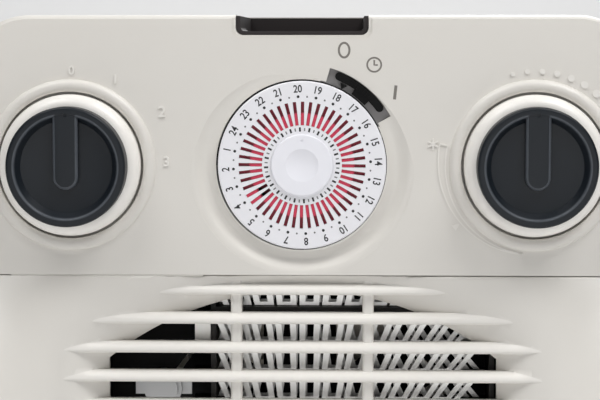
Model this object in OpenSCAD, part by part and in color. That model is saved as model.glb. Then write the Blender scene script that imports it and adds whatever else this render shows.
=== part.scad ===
// Electric fan heater with a 24 hour tappet timer, a rotary selector,
// a rotary room thermostat and a three-position slide switch.
// Millimetres. X to the right, Y to the back, Z up. Seen from the front,
// angles on the controls run clockwise from the top.

/* [Body] */
// Width of the housing
body_w = 272; // [264:1:284]
// Height of the housing without the feet
body_h = 293; // [289:1:300]
// Depth from the flat front face to the back
body_d = 118; // [116:1:124]
// Radius of the four upright corners
corner_r = 26; // [23:1:28]
// Rounding of the front edge
edge_r = 6; // [4:0.5:8]
// Rounding of the back edge
back_edge_r = 9; // [6:0.5:12]
// Wall thickness of the mouldings
wall = 2.8; // [2.4:0.1:3.2]
// Depth of the two front mouldings
front_d = 24; // [20:1:26]
// Height of the rubber feet
foot_h = 7; // [5:0.5:9]
// Radius of the rubber feet
foot_r = 9; // [7:0.5:11]
// Distance of the feet from the sides of the housing
foot_side = 36; // [31:1:44]
// Spacing of the feet from front to back
foot_dy = 58; // [50:2:58]

/* [Control panel] */
// Distance of the control centres below the top
dial_drop = 60; // [58:0.5:64]
// Distance of the joint line below the control centres
seam_drop = 44.4; // [43.5:0.1:46]
// Width of the joint line between the two front mouldings
seam_gap = 0.5; // [0.3:0.1:0.8]
// Radius of the crown of the control panel, top to bottom
crown_r = 900; // [800:20:1200]
// How far the crown stands in front of the flat lower face
crown_proud = 1.1; // [0.8:0.1:1.6]
// Distance of each knob from the side of the housing
knob_side = 43; // [41:0.5:45]
// Inner radius of the raised ring round each knob
bezel_r0 = 29.5; // [29.2:0.1:30]
// Outer radius of the raised ring round each knob
bezel_r1 = 34.5; // [33.5:0.1:36]
// Height of the raised ring over the panel
bezel_h = 2.2; // [1.6:0.1:3]
// Depth of the floor of each knob recess behind the panel
recess_d = 4.6; // [4.5:0.1:5]
// Radius of the thicker wall behind the timer dial
pad_r = 46.5; // [46:0.1:47]
// Radius at which the hollow round the timer dial starts to rise
moat_r0 = 37.8; // [37:0.1:38.5]
// Radius at which the hollow round the timer dial meets the panel
moat_r1 = 45; // [44:0.1:46]
// Depth of the hollow round the timer dial
moat_d = 1.6; // [1.2:0.1:1.8]
// Tilt of the hollow, which runs out at the top of the timer dial
moat_tilt = 1.38; // [1.2:0.02:1.5]

/* [Knobs] */
// How far the knobs stand in front of the flat lower face
knob_proud = 16; // [13:0.5:18]
// Radius of the pale knob skirt
skirt_r = 28.4; // [28:0.1:28.7]
// Radius of the dark knob cap
cap_r = 23.8; // [22.8:0.1:24.5]
// Radius of the hollow in the cap
cap_dish_r = 20.4; // [19:0.1:20.8]
// Depth of the hollow in the cap
cap_dish_d = 3.6; // [3:0.1:4.5]
// Width of the finger tongue on the cap
tongue_w = 10; // [8:0.2:11]
// How far the tongue reaches below the centre
tongue_low = 9; // [6:0.5:12]
// Radius of the knob spindles
spindle_r = 3; // [2.8:0.1:3.2]
// Radial running clearance of a spindle in its bush
run_fit = 0.06; // [0.03:0.01:0.1]

/* [Timer dial] */
// Radius of the timer dial
dial_r = 33.75; // [33.5:0.05:34]
// Thickness of the timer dial
dial_t = 2.4; // [2.2:0.1:2.6]
// Width of the open ring between dial and panel
dial_gap = 1; // [0.8:0.1:1.2]
// Number of half-hour slots
slot_n = 48; // [48:1:48]
// Inner radius of the slots
slot_r0 = 16; // [15.8:0.1:16.2]
// Outer radius of the slots
slot_r1 = 25.5; // [25.2:0.1:25.8]
// Width of one slot
slot_w = 1.35; // [1.3:0.05:1.4]
// Turn of the dial that puts the 20 hour mark beside the top
dial_set = -3.2; // [-3.7:0.1:-2.7]
// Width of one red tappet
tappet_w = 1.17; // [1.1:0.01:1.2]
// Length of one tappet finger
tappet_l = 4.8; // [4.6:0.1:5]
// Travel of one tappet
tappet_travel = 4.5; // [4.3:0.1:4.6]
// Radius of the centre cap
hub_cap_r = 12.6; // [12.2:0.1:12.8]

/* [Slide switch] */
// First angle of the switch window
window_a0 = 16; // [15.5:0.5:16.5]
// Last angle of the switch window
window_a1 = 61; // [60.5:0.5:61.5]
// Outer radius of the switch window
window_r = 40.5; // [40.3:0.1:40.8]
// First angle of the slider
slider_a0 = 20.3; // [20.2:0.1:20.5]
// Last angle of the slider
slider_a1 = 55.8; // [55.5:0.1:56]
// Swing of the slider to each side
slider_swing = 4; // [3.6:0.1:4.2]
// Angle of the black time pointer
pointer_a = 27.3; // [26.8:0.1:27.8]

/* [Air outlet] */
// Distance of the top of the outlet below the control centres
outlet_top = 51.65; // [51:0.05:53]
// Height of the flat band under the outlet
outlet_low = 29.65; // [27:0.05:33]
// Half width of the outlet opening
outlet_hw = 79; // [77:0.5:81]
// Radius of the arched top and bottom of the opening
arch_r = 125.8; // [124:0.2:128]
// Width of the rolled-in edge of the opening
flare_w = 14.7; // [13:0.1:15.5]
// Depth of the rolled-in edge of the opening
flare_d = 7; // [6:0.1:7.6]
// Depth of the slats
slat_d = 10; // [9:0.5:11]
// Height of one slat
slat_h = 4.5; // [4:0.1:5.2]
// Distance from one slat to the next
slat_pitch = 11.9; // [11.7:0.05:12]
// How far the first slat lies above the top of the outlet
slat_lead = 1.2; // [1:0.05:1.5]
// Distance of the upright bars from the middle
bar_x = 26.7; // [25:0.1:28]
// Width of the upright bars
bar_w = 4.6; // [3.8:0.1:5.4]
// How far the bars stand behind the front face
bar_back = 2.6; // [1.6:0.1:4]

/* [Air side] */
// Radius of the fan wheel
fan_r = 64; // [60:1:65]
// Number of fan blades
blade_n = 7; // [5:1:7]
// Width of one fan blade
blade_chord = 36; // [30:1:38]
// Pitch of the fan blades
blade_pitch = 34; // [28:1:36]
// Clearance between the fan wheel and its ring
fan_gap = 2.5; // [2:0.1:3.5]
// Left end of the heating element
heater_x0 = -36; // [-38:0.5:-34]
// Right end of the heating element
heater_x1 = 75.5; // [74:0.5:76]
// Depth of the heating element
heater_d = 22; // [20:0.5:24]
// Distance from one hairpin of the heating ribbon to the next
ribbon_step = 9.66; // [9:0.02:11]
// Width of the heating ribbon
ribbon_w = 2.5; // [2:0.1:2.8]
// Thickness of the heating ribbon
ribbon_t = 0.6; // [0.4:0.1:1]
// Open slot inside one hairpin of the ribbon
ribbon_slot = 1.3; // [1:0.1:1.6]
// Sideways lean of the ribbon for each millimetre from the middle
ribbon_lean = 0.0125; // [0:0.0005:0.014]
// Thickness of the insulating boards between the rows of ribbon
board_h = 1.2; // [0.8:0.1:1.6]

/* [Back] */
// Height of the wall screw seats over the bottom of the feet
keyhole_z = 232; // [226:1:236]
// Spacing of the two wall hooks
keyhole_dx = 120; // [110:1:130]
// Radius of the narrow end of a wall keyhole
keyhole_r = 2.3; // [2:0.1:2.6]
// Radius of the wide end of a wall keyhole
keyhole_head_r = 4.6; // [4.2:0.1:5]
// Radius of the bore for the mains cord
cord_r = 3.7; // [3.4:0.1:4]

/* [Hidden] */
$fn = 64;
eps = 0.01;
total_d = body_d + knob_proud;
face_y = knob_proud - total_d / 2;
back_y = face_y + body_d;
skin_y = face_y - crown_proud;
split_y = face_y + front_d;
top_z = foot_h + body_h;
mid_z = foot_h + body_h / 2;
dial_z = top_z - dial_drop;
seam_z = dial_z - seam_drop;
knob_x = body_w / 2 - knob_side;
foot_x = body_w / 2 - foot_side;
outlet_hh = (dial_z - outlet_top - foot_h - outlet_low) / 2;
air_z = dial_z - outlet_top - outlet_hh;
slat_z0 = dial_z - outlet_top + slat_lead;
slat_n = 1 + floor((2 * outlet_hh + slat_lead + 2) / slat_pitch);
intake_pitch = 8.6;
intake_h = 4.4;
intake_bar = 4;
intake_n = floor((fan_r - 3) / intake_pitch);
louvre_d = 4.5;
lip_d = slat_d;
lip_t = 2;
core_x = body_w / 2 - corner_r;
core_z = body_h / 2 - corner_r;
dial_y = skin_y + 0.1;
dial_back = dial_y + dial_t;
foot_y = dial_back + 0.15;
foot_t = 1.25;
tail_y = foot_y + foot_t + 3.1;
wheel_y = tail_y + 1.6;
wheel_t = 2;
idler_y = wheel_y + wheel_t + 0.9;
idler_t = 1.8;
case_floor_y = idler_y + idler_t + 1.9;
case_floor_t = 2;
case_r = dial_r + 0.75;
case_wall = 1.5;
floor_y = skin_y + 2.8;
floor_t = 1;
floor_edge = 4;
slider_y = skin_y + 0.1;
recess_y = skin_y + recess_d;
recess_t = 2;
bush_r = 7;
skirt_h = 6.5;
skirt_in = 4;
skirt_edge = 5;
switch_d = 22;
frame_t = 1.4;
stem_r0 = window_r - 3.2;
stem_r1 = window_r - 1.8;
slider_r0 = window_r - 3.6;
slider_mid = (slider_a0 + slider_a1) / 2;
arm_hw = 3;
arm_r1 = window_r + 9.5;
switch_r0 = window_r + 2.5;
switch_hw = 11;
switch_l = 12;
ear_r = case_r + 4.1;
ear_y = skin_y + 9.4;
ear_t = 2;
control_y = skin_y + 7.4;
fix_r = 13;
ear_angles = [95, 185, 275];
feeler_p = pol(30, 66);
slot_step = 360 / slot_n;
slot_a0 = dial_set + slot_step / 2;
wheel_teeth = 54;
wheel_m = 0.7;
idler_small = 12;
idler_big = 36;
idler_m = 0.5;
pinion_teeth = 12;
idler_a = 150;
idler_c = (wheel_teeth + idler_small) * wheel_m / 2;
pinion_c = (idler_big + pinion_teeth) * idler_m / 2;
pinion_r_at = idler_c - pinion_c;
single_first = 29;
single_count = 6;
notch_hw = 26.6;
notch_z = top_z - 8;
cup_fit = 0.2;
cup_wall = 1.6;
cup_y0 = skin_y + 4;
pocket_y0 = -10;
pocket_y1 = 34;
pocket_y2 = 50;
pocket_z0 = top_z - 40;
lip_z = top_z - 13;
heater_y0 = face_y + slat_d + 5;
duct_y0 = face_y + slat_d + 0.4;
duct_plate_y = heater_y0 + heater_d + 3;
duct_t = 2.2;
duct_hw = outlet_hw + 5;
duct_hh = outlet_hh + 7;
duct_corner = 5;
duct_in_z = duct_hh - duct_t;
ring_back_y = duct_plate_y + 34;
fan_y = duct_plate_y + 14;
spider_y = ring_back_y - 4;
motor_y = ring_back_y + 2;
stack_y = motor_y + 6;
motor_gap = 4.7;
rear_bearing_d = 9;
stack_d = back_y - wall - louvre_d - motor_gap - rear_bearing_d - stack_y;
rotor_r = 12.4;
shaft_r = 2.5;
ribbon_rows = slat_n - 1;
board_z0 = slat_z0 - 1.7;
carrier_h = 4.6;
hairpin_n = floor((heater_x1 - heater_x0 - ribbon_step / 2) / ribbon_step);
post_x = body_w / 2 - 13;
post_r = 5.2;
well_y = split_y + 14;
pilot_d = 13;
post_zs = [foot_h + 22, seam_z - 30, top_z - 32];
duct_post_x = outlet_hw + 17;
duct_post_dz = outlet_hh - 9.85;
gland_x = body_w / 2 - 44;
gland_z = 30;
block_x = body_w / 2 - 32;
block_z = air_z - 16.5;
screw_r = 1.7;
head_r = 3.4;
clamp_dz = 13;
clamp_r = 3.6;
feeler_r0 = 28.9;
bolt_x = 24;
bolt_dz = 12;
bracket_t = 1.6;
coil_hw = 14.5;
coil_low = 43;
coil_t = 6;

function pol(r, a) = [r * sin(a), r * cos(a)];
function board_z(k) = board_z0 - k * slat_pitch;
function row_top(k) = board_z(k) - (k == ribbon_rows - 1 ? carrier_h : board_h / 2);
function row_low(k) = board_z(k + 1) + (k == 0 ? carrier_h : board_h / 2);
function slot_angle(k) = slot_a0 + slot_step * k;
function tappet_out(k) = (k == single_first + 2 || k == single_first + 3) ? tappet_travel : 0;

// ---- shared shapes ----

// An outline in the front view (x, z) made solid from depth y0 backwards by d.
module slab(y0, d) {
    translate([0, y0 + d, 0])
        rotate([90, 0, 0])
            linear_extrude(height = d)
                children();
}

// The same, drawn round the dial centre.
module dial_slab(y0, d) {
    slab(y0, d)
        translate([0, dial_z])
            children();
}

// A turned piece: profile x is the radius, profile y runs forward from y0.
module turned(x, z, y0) {
    translate([x, y0, z])
        rotate([90, 0, 0])
            rotate_extrude()
                children();
}

module rod(x, z, y0, d, r) {
    translate([x, y0 + d, z])
        rotate([90, 0, 0])
            cylinder(r = r, h = d);
}

module tube(x, z, y0, d, r0, r1) {
    difference() {
        rod(x, z, y0, d, r1);
        rod(x, z, y0 - 1, d + 2, r0);
    }
}

module block(x0, x1, y0, y1, z0, z1) {
    translate([x0, y0, z0])
        cube([x1 - x0, y1 - y0, z1 - z0]);
}

module round_rect(x0, x1, y0, y1, r) {
    translate([x0 + r, y0]) square([x1 - x0 - 2 * r, y1 - y0]);
    translate([x0, y0 + r]) square([x1 - x0, y1 - y0 - 2 * r]);
    for (x = [x0 + r, x1 - r], y = [y0 + r, y1 - r])
        translate([x, y]) circle(r = r);
}

module ring_sector(r0, r1, a0, a1) {
    intersection() {
        difference() {
            circle(r = r1);
            circle(r = r0);
        }
        polygon([[0, 0], pol(2 * r1, a0), pol(2.6 * r1, (a0 + a1) / 2), pol(2 * r1, a1)]);
    }
}

// Half section of a block edge: straight sides, rounded front and back corners.
module edge_section(r, l, rf, rb) {
    translate([0, -l]) square([r - max(rf, rb), l]);
    translate([0, -l + rb]) square([r, l - rf - rb]);
    if (rf > 0) {
        translate([0, -rf]) square([r - rf, rf]);
        translate([r - rf, -rf]) circle(r = rf);
    }
    if (rb > 0) {
        translate([0, -l]) square([r - rb, rb]);
        translate([r - rb, -l + rb]) circle(r = rb);
    }
}

// A section carried round the four corners and four sides of the body.
module swept(cx, cz) {
    translate([cx, cz, 0]) rotate_extrude(angle = 90) children();
    translate([-cx, cz, 0]) rotate([0, 0, 90]) rotate_extrude(angle = 90) children();
    translate([-cx, -cz, 0]) rotate([0, 0, 180]) rotate_extrude(angle = 90) children();
    translate([cx, -cz, 0]) rotate([0, 0, 270]) rotate_extrude(angle = 90) children();
    translate([cx, cz, 0]) rotate([90, 0, 0]) linear_extrude(height = 2 * cz) children();
    translate([-cx, -cz, 0]) rotate([0, 0, 180]) rotate([90, 0, 0])
        linear_extrude(height = 2 * cz) children();
    translate([-cx, cz, 0]) rotate([0, 0, 90]) rotate([90, 0, 0])
        linear_extrude(height = 2 * cx) children();
    translate([cx, -cz, 0]) rotate([0, 0, 270]) rotate([90, 0, 0])
        linear_extrude(height = 2 * cx) children();
}

// The rounded body block between two depths, shrunk all round by an inset.
module body_block(y0, y1, inset, rf, rb) {
    translate([0, y0, mid_z])
        rotate([90, 0, 0]) {
            swept(core_x, core_z)
                edge_section(corner_r - inset, y1 - y0, rf, rb);
            translate([-core_x, -core_z, y0 - y1])
                cube([2 * core_x, 2 * core_z, y1 - y0]);
        }
}

// The crowned block that gives the control panel its curve.
module crown(t) {
    translate([-200, skin_y + crown_r, dial_z])
        rotate([0, 90, 0])
            cylinder(r = crown_r - t, h = 400, $fn = 360);
}

// Outline of one involute gear, one tooth pointing up.
module gear_outline(n, m) {
    pa = 25;
    rp = n * m / 2;
    rb = rp * cos(pa);
    ra = rp + 0.85 * m;
    rr = rp - 1.1 * m;
    lash = 0.05 * 180 / (PI * rp);
    half = 90 / n - lash + tan(pa) * 180 / PI - pa;
    r1 = max(rb, rr + 0.01);
    steps = 3;
    polygon([for (i = [0:n - 1]) for (s = [-1, 1]) for (k = [0:steps + 1])
        let (j = s < 0 ? k : steps + 1 - k)
        let (r = j == 0 ? rr : r1 + (ra - r1) * (j - 1) / steps)
        let (q = r > rb ? acos(rb / r) : 0)
        let (off = half - (tan(q) * 180 / PI - q))
        pol(r, i * 360 / n + s * off)]);
}

// ---- housing ----

// Half width of intake slot k, which follows the circle of the fan.
function intake_hw(k) = sqrt(pow(fan_r + 2, 2) - pow(abs(k) * intake_pitch + intake_h / 2, 2));

// Sloping fin that hides the inside behind intake slot k.
module louvre(s, k) {
    w = intake_hw(k) + 1;
    top = air_z + k * intake_pitch + intake_pitch / 2;
    translate([s > 0 ? 0 : -w, 0, 0])
        rotate([90, 0, 90])
            linear_extrude(height = w)
                polygon([[back_y - wall + 0.2, top - 1.2], [back_y - wall + 0.2, top + 0.4],
                         [back_y - wall - louvre_d, top - intake_pitch + 0.8],
                         [back_y - wall - louvre_d, top - intake_pitch - 0.4]]);
}

// Moulded back half: swept shell, louvred intake, screw posts, wall keyholes,
// cord hole, cut-out for the carry pocket.
module rear_housing() {
    inner_y = back_y - wall;
    boss_y = duct_plate_y + duct_t;
    vent_h = 4;
    vent_pitch = 11;
    vent_z0 = air_z - 40;
    color([0.86, 0.85, 0.82])
    difference() {
        union() {
            difference() {
                body_block(split_y, back_y, 0, 0, back_edge_r);
                body_block(split_y - 1, inner_y, wall, 0, back_edge_r - wall);
            }
            for (s = [-1, 1], z = post_zs)
                tube(s * post_x, z, split_y, inner_y - split_y + 0.5, screw_r + 0.4, post_r);
            for (s = [-1, 1], t = [-1, 1])
                rod(s * duct_post_x, air_z + t * duct_post_dz, boss_y, inner_y - boss_y + 0.5, 4);
            // Ribs of the pocket behind the keyholes.
            for (s = [-1, 1])
                slab(inner_y - 5, 5.2)
                    translate([s * keyhole_dx / 2, keyhole_z])
                        difference() {
                            round_rect(-8, 8, -18, 8, 3);
                            round_rect(-6.4, 6.4, -16.4, 6.4, 2);
                        }
            // Raised frame round the intake.
            tube(0, air_z, inner_y - 2, 2.2, fan_r + 5, fan_r + 7);
            // Sloping louvre inside each intake slot, carried by the bar above it.
            for (k = [-intake_n:intake_n], s = [-1, 1])
                louvre(s, k);
        }
        // Intake slots.
        for (k = [-intake_n:intake_n], s = [-1, 1])
            slab(inner_y - 1, wall + 2)
                translate([0, air_z + k * intake_pitch])
                    translate([s > 0 ? intake_bar / 2 : -intake_hw(k), -intake_h / 2])
                        square([intake_hw(k) - intake_bar / 2, intake_h]);
        for (s = [-1, 1]) {
            // Wall keyholes.
            slab(inner_y - 1, wall + 2)
                translate([s * keyhole_dx / 2, keyhole_z]) {
                    circle(r = keyhole_r);
                    translate([-keyhole_r, -10]) square([2 * keyhole_r, 10]);
                    translate([0, -10]) circle(r = keyhole_head_r);
                }
            // Wells of the housing screws.
            for (z = post_zs)
                rod(s * post_x, z, well_y, back_y + 1 - well_y, head_r + 0.4);
            for (t = [-1, 1])
                rod(s * duct_post_x, air_z + t * duct_post_dz, duct_plate_y - 2, 16, screw_r - 0.3);
        }
        rod(gland_x, gland_z, inner_y - 1, wall + 2, 7);
        // Opening for the carry pocket in the top.
        block(-notch_hw, notch_hw, split_y - 1, pocket_y1, top_z - wall - 0.5, top_z + 1);
        // Side vents.
        for (s = [-1, 1], k = [0:6])
            block(s * body_w / 2 - 5, s * body_w / 2 + 5, -4, 38,
                  vent_z0 + k * vent_pitch, vent_z0 + k * vent_pitch + vent_h);
    }
}

// Space of the hollow round the dial: a level ring next to the dial, a rising
// arc and a matching arc that rolls off into the panel.
module moat_space() {
    rise_w = 0.55 * (moat_r1 - moat_r0);
    roll_w = moat_r1 - moat_r0 - rise_w;
    bend = 2 * atan(moat_d / (moat_r1 - moat_r0));
    rise_r = rise_w / sin(bend);
    roll_r = roll_w / sin(bend);
    translate([0, skin_y, dial_z])
        rotate([moat_tilt + 90, 0, 0])
            rotate_extrude() {
                translate([dial_r - 4, -moat_d]) square([moat_r0 - dial_r + 4, moat_d + 3]);
                intersection() {
                    translate([moat_r0, rise_r - moat_d]) circle(r = rise_r);
                    translate([moat_r0 - 0.5, -moat_d]) square([rise_w + 0.5, moat_d + 3]);
                }
                difference() {
                    translate([moat_r0 + rise_w, -moat_d]) square([roll_w, moat_d + 3]);
                    translate([moat_r1, -roll_r]) circle(r = roll_r);
                }
            }
}

// Crowned upper front moulding with two knob recesses, the hollow round the
// dial, the switch window and the notch of the carry pocket.
module control_panel() {
    color([0.88, 0.87, 0.85])
    difference() {
        union() {
            difference() {
                intersection() {
                    body_block(skin_y, split_y, 0, edge_r, 0);
                    crown(0);
                    block(-200, 200, -200, 200, seam_z, 400);
                }
                intersection() {
                    body_block(skin_y - 1, split_y + 1, wall, 0, 0);
                    crown(wall);
                    block(-200, 200, -200, 200, seam_z + lip_t, 400);
                }
                block(-body_w / 2 + wall, body_w / 2 - wall, face_y + lip_d, split_y + 1,
                      seam_z - 1, seam_z + lip_t + 0.1);
            }
            // Raised rings round the knobs.
            for (s = [-1, 1])
                turned(s * knob_x, dial_z, skin_y) {
                    translate([bezel_r0 - 0.8, -6])
                        square([bezel_r1 - bezel_r0 + 0.8, 6 + bezel_h - 2.2]);
                    translate([(bezel_r0 - 0.8 + bezel_r1) / 2, bezel_h - 2.2 - 0.9])
                        circle(r = (bezel_r1 - bezel_r0 + 0.8) / 2);
                }
            // Floors of the knob recesses.
            for (s = [-1, 1])
                rod(s * knob_x, dial_z, recess_y, recess_t, bezel_r1 - 0.5);
            // Thicker wall behind the dial.
            intersection() {
                crown(0);
                rod(0, dial_z, skin_y - 1, 5, pad_r);
                block(-200, 200, -200, 200, seam_z, 400);
            }
            // Posts for the housing screws, the timer and the two controls.
            for (s = [-1, 1])
                rod(s * post_x, post_zs[2], skin_y + wall - 0.2, split_y - skin_y - wall + 0.2, post_r);
            for (a = ear_angles)
                rod(pol(ear_r, a)[0], dial_z + pol(ear_r, a)[1], skin_y + 2, ear_y - skin_y - 2, 3.2);
            for (s = [-1, 1], t = [-1, 1])
                rod(s * knob_x + t * fix_r, dial_z + t * fix_r * s, recess_y + 0.5,
                    control_y - recess_y - 0.5, 3);
        }
        // Dial opening, hollow round it, switch window and seat of its floor.
        rod(0, dial_z, skin_y - 2, 10, dial_r + dial_gap);
        moat_space();
        dial_slab(skin_y - 2, 10)
            ring_sector(dial_r - 2, window_r, window_a0, window_a1);
        dial_slab(floor_y - 0.1, 8)
            ring_sector(dial_r - 2, window_r + 2.5, window_a0 - floor_edge - 1, window_a1 + floor_edge + 1);
        // Knob recesses, bush holes and screw holes of the two controls.
        for (s = [-1, 1]) {
            rod(s * knob_x, dial_z, skin_y - 6, 6 + recess_d, bezel_r0);
            rod(s * knob_x, dial_z, skin_y, 10, bush_r + 0.3);
            for (t = [-1, 1])
                rod(s * knob_x + t * fix_r, dial_z + t * fix_r * s, recess_y + 0.4, 4, 1.1);
        }
        // Notch for the carry pocket, with a bevelled lip.
        slab(skin_y - 1, front_d + 4) {
            translate([-notch_hw, notch_z + 3]) square([2 * notch_hw, 10]);
            translate([-notch_hw + 3, notch_z]) square([2 * notch_hw - 6, 4]);
            for (s = [-1, 1])
                translate([s * (notch_hw - 3), notch_z + 3]) circle(r = 3);
        }
        slab(skin_y - 1, 3.4) {
            translate([-notch_hw - 1.4, notch_z + 2]) square([2 * notch_hw + 2.8, 10]);
            translate([-notch_hw + 2.2, notch_z - 1.4]) square([2 * notch_hw - 4.4, 4]);
            for (s = [-1, 1])
                translate([s * (notch_hw - 2.2), notch_z + 2.2]) circle(r = 3.6);
        }
        for (a = ear_angles)
            rod(pol(ear_r, a)[0], dial_z + pol(ear_r, a)[1], skin_y + 4, 8, 1.1);
        for (s = [-1, 1])
            rod(s * post_x, post_zs[2], split_y - pilot_d, pilot_d + 1, screw_r);
    }
}

// Section of the rolled-in opening edge: x outwards, y forward of the face.
module flare_section(r) {
    rf = (flare_w * flare_w + flare_d * flare_d) / (2 * flare_d);
    translate([0, -slat_d - 1]) square([r, slat_d + 2]);
    difference() {
        translate([r - 1, -flare_d]) square([flare_w + 1, flare_d + 1]);
        translate([r + flare_w, 0.15 - rf]) circle(r = rf);
    }
}

// Everything inside the rolled-in outlet.
module outlet_space() {
    arch_z = outlet_hh - arch_r;
    intersection() {
        turned(0, air_z + arch_z, face_y) flare_section(arch_r);
        turned(0, air_z - arch_z, face_y) flare_section(arch_r);
        for (s = [0, 1])
            mirror([s, 0, 0])
                translate([0, face_y, air_z - 150])
                    linear_extrude(height = 300)
                        mirror([0, 1]) flare_section(outlet_hw);
    }
}

// The thick frame that carries the rolled-in edge and the slats.
module outlet_frame() {
    arch_z = outlet_hh - arch_r;
    intersection() {
        body_block(face_y + 0.4, face_y + slat_d, 0.5, edge_r, 0);
        block(-outlet_hw - flare_w - 2, outlet_hw + flare_w + 2, face_y - 5, face_y + slat_d,
              foot_h + 10, seam_z - seam_gap);
        rod(0, air_z + arch_z, face_y - 5, slat_d + 5, arch_r + flare_w + 2);
        rod(0, air_z - arch_z, face_y - 5, slat_d + 5, arch_r + flare_w + 2);
    }
}

module outlet_bars() {
    for (k = [0:slat_n - 1])
        translate([-100, 0, slat_z0 - k * slat_pitch])
            rotate([90, 0, 90])
                linear_extrude(height = 200) {
                    translate([face_y + 1.7, -slat_h / 2]) square([slat_d - 1.7, slat_h]);
                    translate([face_y, -slat_h / 2 + 1.7]) square([2, slat_h - 3.4]);
                    for (t = [-1, 1])
                        translate([face_y + 1.7, t * (slat_h / 2 - 1.7)]) circle(r = 1.7);
                }
    for (s = [-1, 1])
        block(s * bar_x - bar_w / 2, s * bar_x + bar_w / 2, face_y + bar_back, face_y + slat_d - 1,
              air_z - 80, air_z + 80);
}

// Lower front moulding: flat face, rolled-in outlet, slats and two upright bars.
module front_grille() {
    color([0.85, 0.84, 0.82])
    union() {
        difference() {
            union() {
                difference() {
                    intersection() {
                        body_block(face_y, split_y, 0, edge_r, 0);
                        block(-200, 200, -200, 200, 0, seam_z - seam_gap);
                    }
                    intersection() {
                        body_block(face_y + wall, split_y + 1, wall, 0, 0);
                        block(-200, 200, -200, 200, 0, seam_z - seam_gap - lip_t);
                    }
                    block(-body_w / 2 + wall, body_w / 2 - wall, face_y + lip_d, split_y + 1,
                          seam_z - seam_gap - lip_t - 0.1, seam_z);
                }
                outlet_frame();
            }
            outlet_space();
        }
        intersection() {
            outlet_frame();
            outlet_bars();
        }
        for (s = [-1, 1], z = [post_zs[0], post_zs[1]])
            difference() {
                rod(s * post_x, z, face_y + wall - 0.3, front_d - wall + 0.3, post_r);
                rod(s * post_x, z, split_y - pilot_d, pilot_d + 1, screw_r);
            }
    }
}

// Black moulded carry pocket let into the top; open to the front at the notch.
module handle_cup() {
    hw = notch_hw - cup_fit;
    inner_hw = hw - cup_wall;
    round_z = notch_z + 3;
    top = top_z - 0.4;
    color([0.12, 0.1, 0.1])
    difference() {
        union() {
            // Channel from the notch to the pocket.
            slab(cup_y0, pocket_y0 - cup_y0 + cup_wall) {
                translate([-hw, round_z]) square([2 * hw, top - round_z]);
                translate([-hw + 2.8, notch_z + cup_fit]) square([2 * hw - 5.6, 4]);
                for (s = [-1, 1])
                    translate([s * (hw - 2.8), round_z]) circle(r = 3 - cup_fit);
            }
            block(-hw, hw, pocket_y0 - cup_wall, pocket_y1 - cup_fit, pocket_z0 - cup_wall, top);
            // Undercut that the finger tips hook behind.
            block(-hw, hw, pocket_y0 - cup_wall, pocket_y2 + cup_wall,
                  pocket_z0 - cup_wall, lip_z + cup_wall);
        }
        slab(cup_y0 - 1, pocket_y0 - cup_y0 + 3) {
            translate([-inner_hw, round_z]) square([2 * inner_hw, 12]);
            translate([-hw + 3.4, notch_z + 1.6]) square([2 * hw - 6.8, 4]);
            for (s = [-1, 1])
                translate([s * (hw - 3.4), notch_z + 3.4]) circle(r = 1.8);
        }
        block(-inner_hw, inner_hw, pocket_y0, pocket_y1 - cup_wall, pocket_z0, top_z + 1);
        block(-inner_hw, inner_hw, pocket_y0, pocket_y2, pocket_z0, lip_z);
    }
}

// ---- knobs ----

// Pale rounded skirt under a cap, with a boss that grips the spindle.
module knob_skirt(x) {
    difference() {
        turned(x, dial_z, skin_y) {
            translate([0, -skirt_in]) square([skirt_r, skirt_in + skirt_h - skirt_edge]);
            translate([0, skirt_h - skirt_edge]) square([skirt_r - skirt_edge, skirt_edge]);
            translate([skirt_r - skirt_edge, skirt_h - skirt_edge]) circle(r = skirt_edge);
        }
        // Hollow between the outer wall and the boss.
        turned(x, dial_z, skin_y)
            translate([spindle_r + 3, -skirt_in - 1])
                square([skirt_r - 2.5 - spindle_r - 3, skirt_in + skirt_h - 3]);
        rod(x, dial_z, skin_y - skirt_h - 1, skirt_h + skirt_in + 2, spindle_r);
    }
}

module selector_skirt() {
    color([0.87, 0.86, 0.83])
    knob_skirt(-knob_x);
}

module thermostat_skirt() {
    color([0.87, 0.86, 0.83])
    knob_skirt(knob_x);
}

// Finger tongue of a cap: flat ridge with rounded edges and a round lower end.
module tongue(front) {
    edge = 1.5;
    half = tongue_w / 2 - edge;
    end_z = tongue_w / 2 - tongue_low;
    slab(-front, edge + 0.01) {
        translate([-half, end_z]) square([2 * half, cap_r - end_z]);
        translate([0, end_z]) circle(r = half);
    }
    slab(-front + edge, cap_dish_d) {
        translate([-half - edge, end_z]) square([tongue_w, cap_r - end_z]);
        translate([0, end_z]) circle(r = half + edge);
    }
    for (s = [-1, 1])
        translate([s * half, edge - front, end_z]) cylinder(r = edge, h = cap_r - end_z);
    turned(0, end_z, edge - front)
        translate([half, 0]) circle(r = edge);
}

// Dark cap with a sloping-walled hollow and a finger tongue that points up at rest.
module knob_cap(x) {
    front = knob_proud - crown_proud;
    rim = 1.2;
    slope = 0.6 * cap_dish_d;
    difference() {
        union() {
            turned(x, dial_z, skin_y)
                difference() {
                    union() {
                        translate([0, skirt_h]) square([cap_r, front - skirt_h - rim]);
                        translate([0, front - rim - 0.1]) square([cap_r - rim, rim + 0.1]);
                        translate([cap_r - rim, front - rim]) circle(r = rim);
                    }
                    translate([0, front - cap_dish_d])
                        polygon([[0, 0], [cap_dish_r - slope, 0], [cap_dish_r, cap_dish_d],
                                 [cap_dish_r, cap_dish_d + 1], [0, cap_dish_d + 1]]);
                }
            intersection() {
                translate([x, skin_y, dial_z]) tongue(front - 0.2);
                rod(x, dial_z, skin_y - front - 1, 20, cap_r - 1.6);
            }
        }
        // Index dot near the tip of the tongue.
        rod(x, dial_z + cap_dish_r + 0.2, skin_y - front - 1, 1.6, 0.9);
        rod(x, dial_z, skin_y - 8, 9, spindle_r);
    }
}

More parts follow.
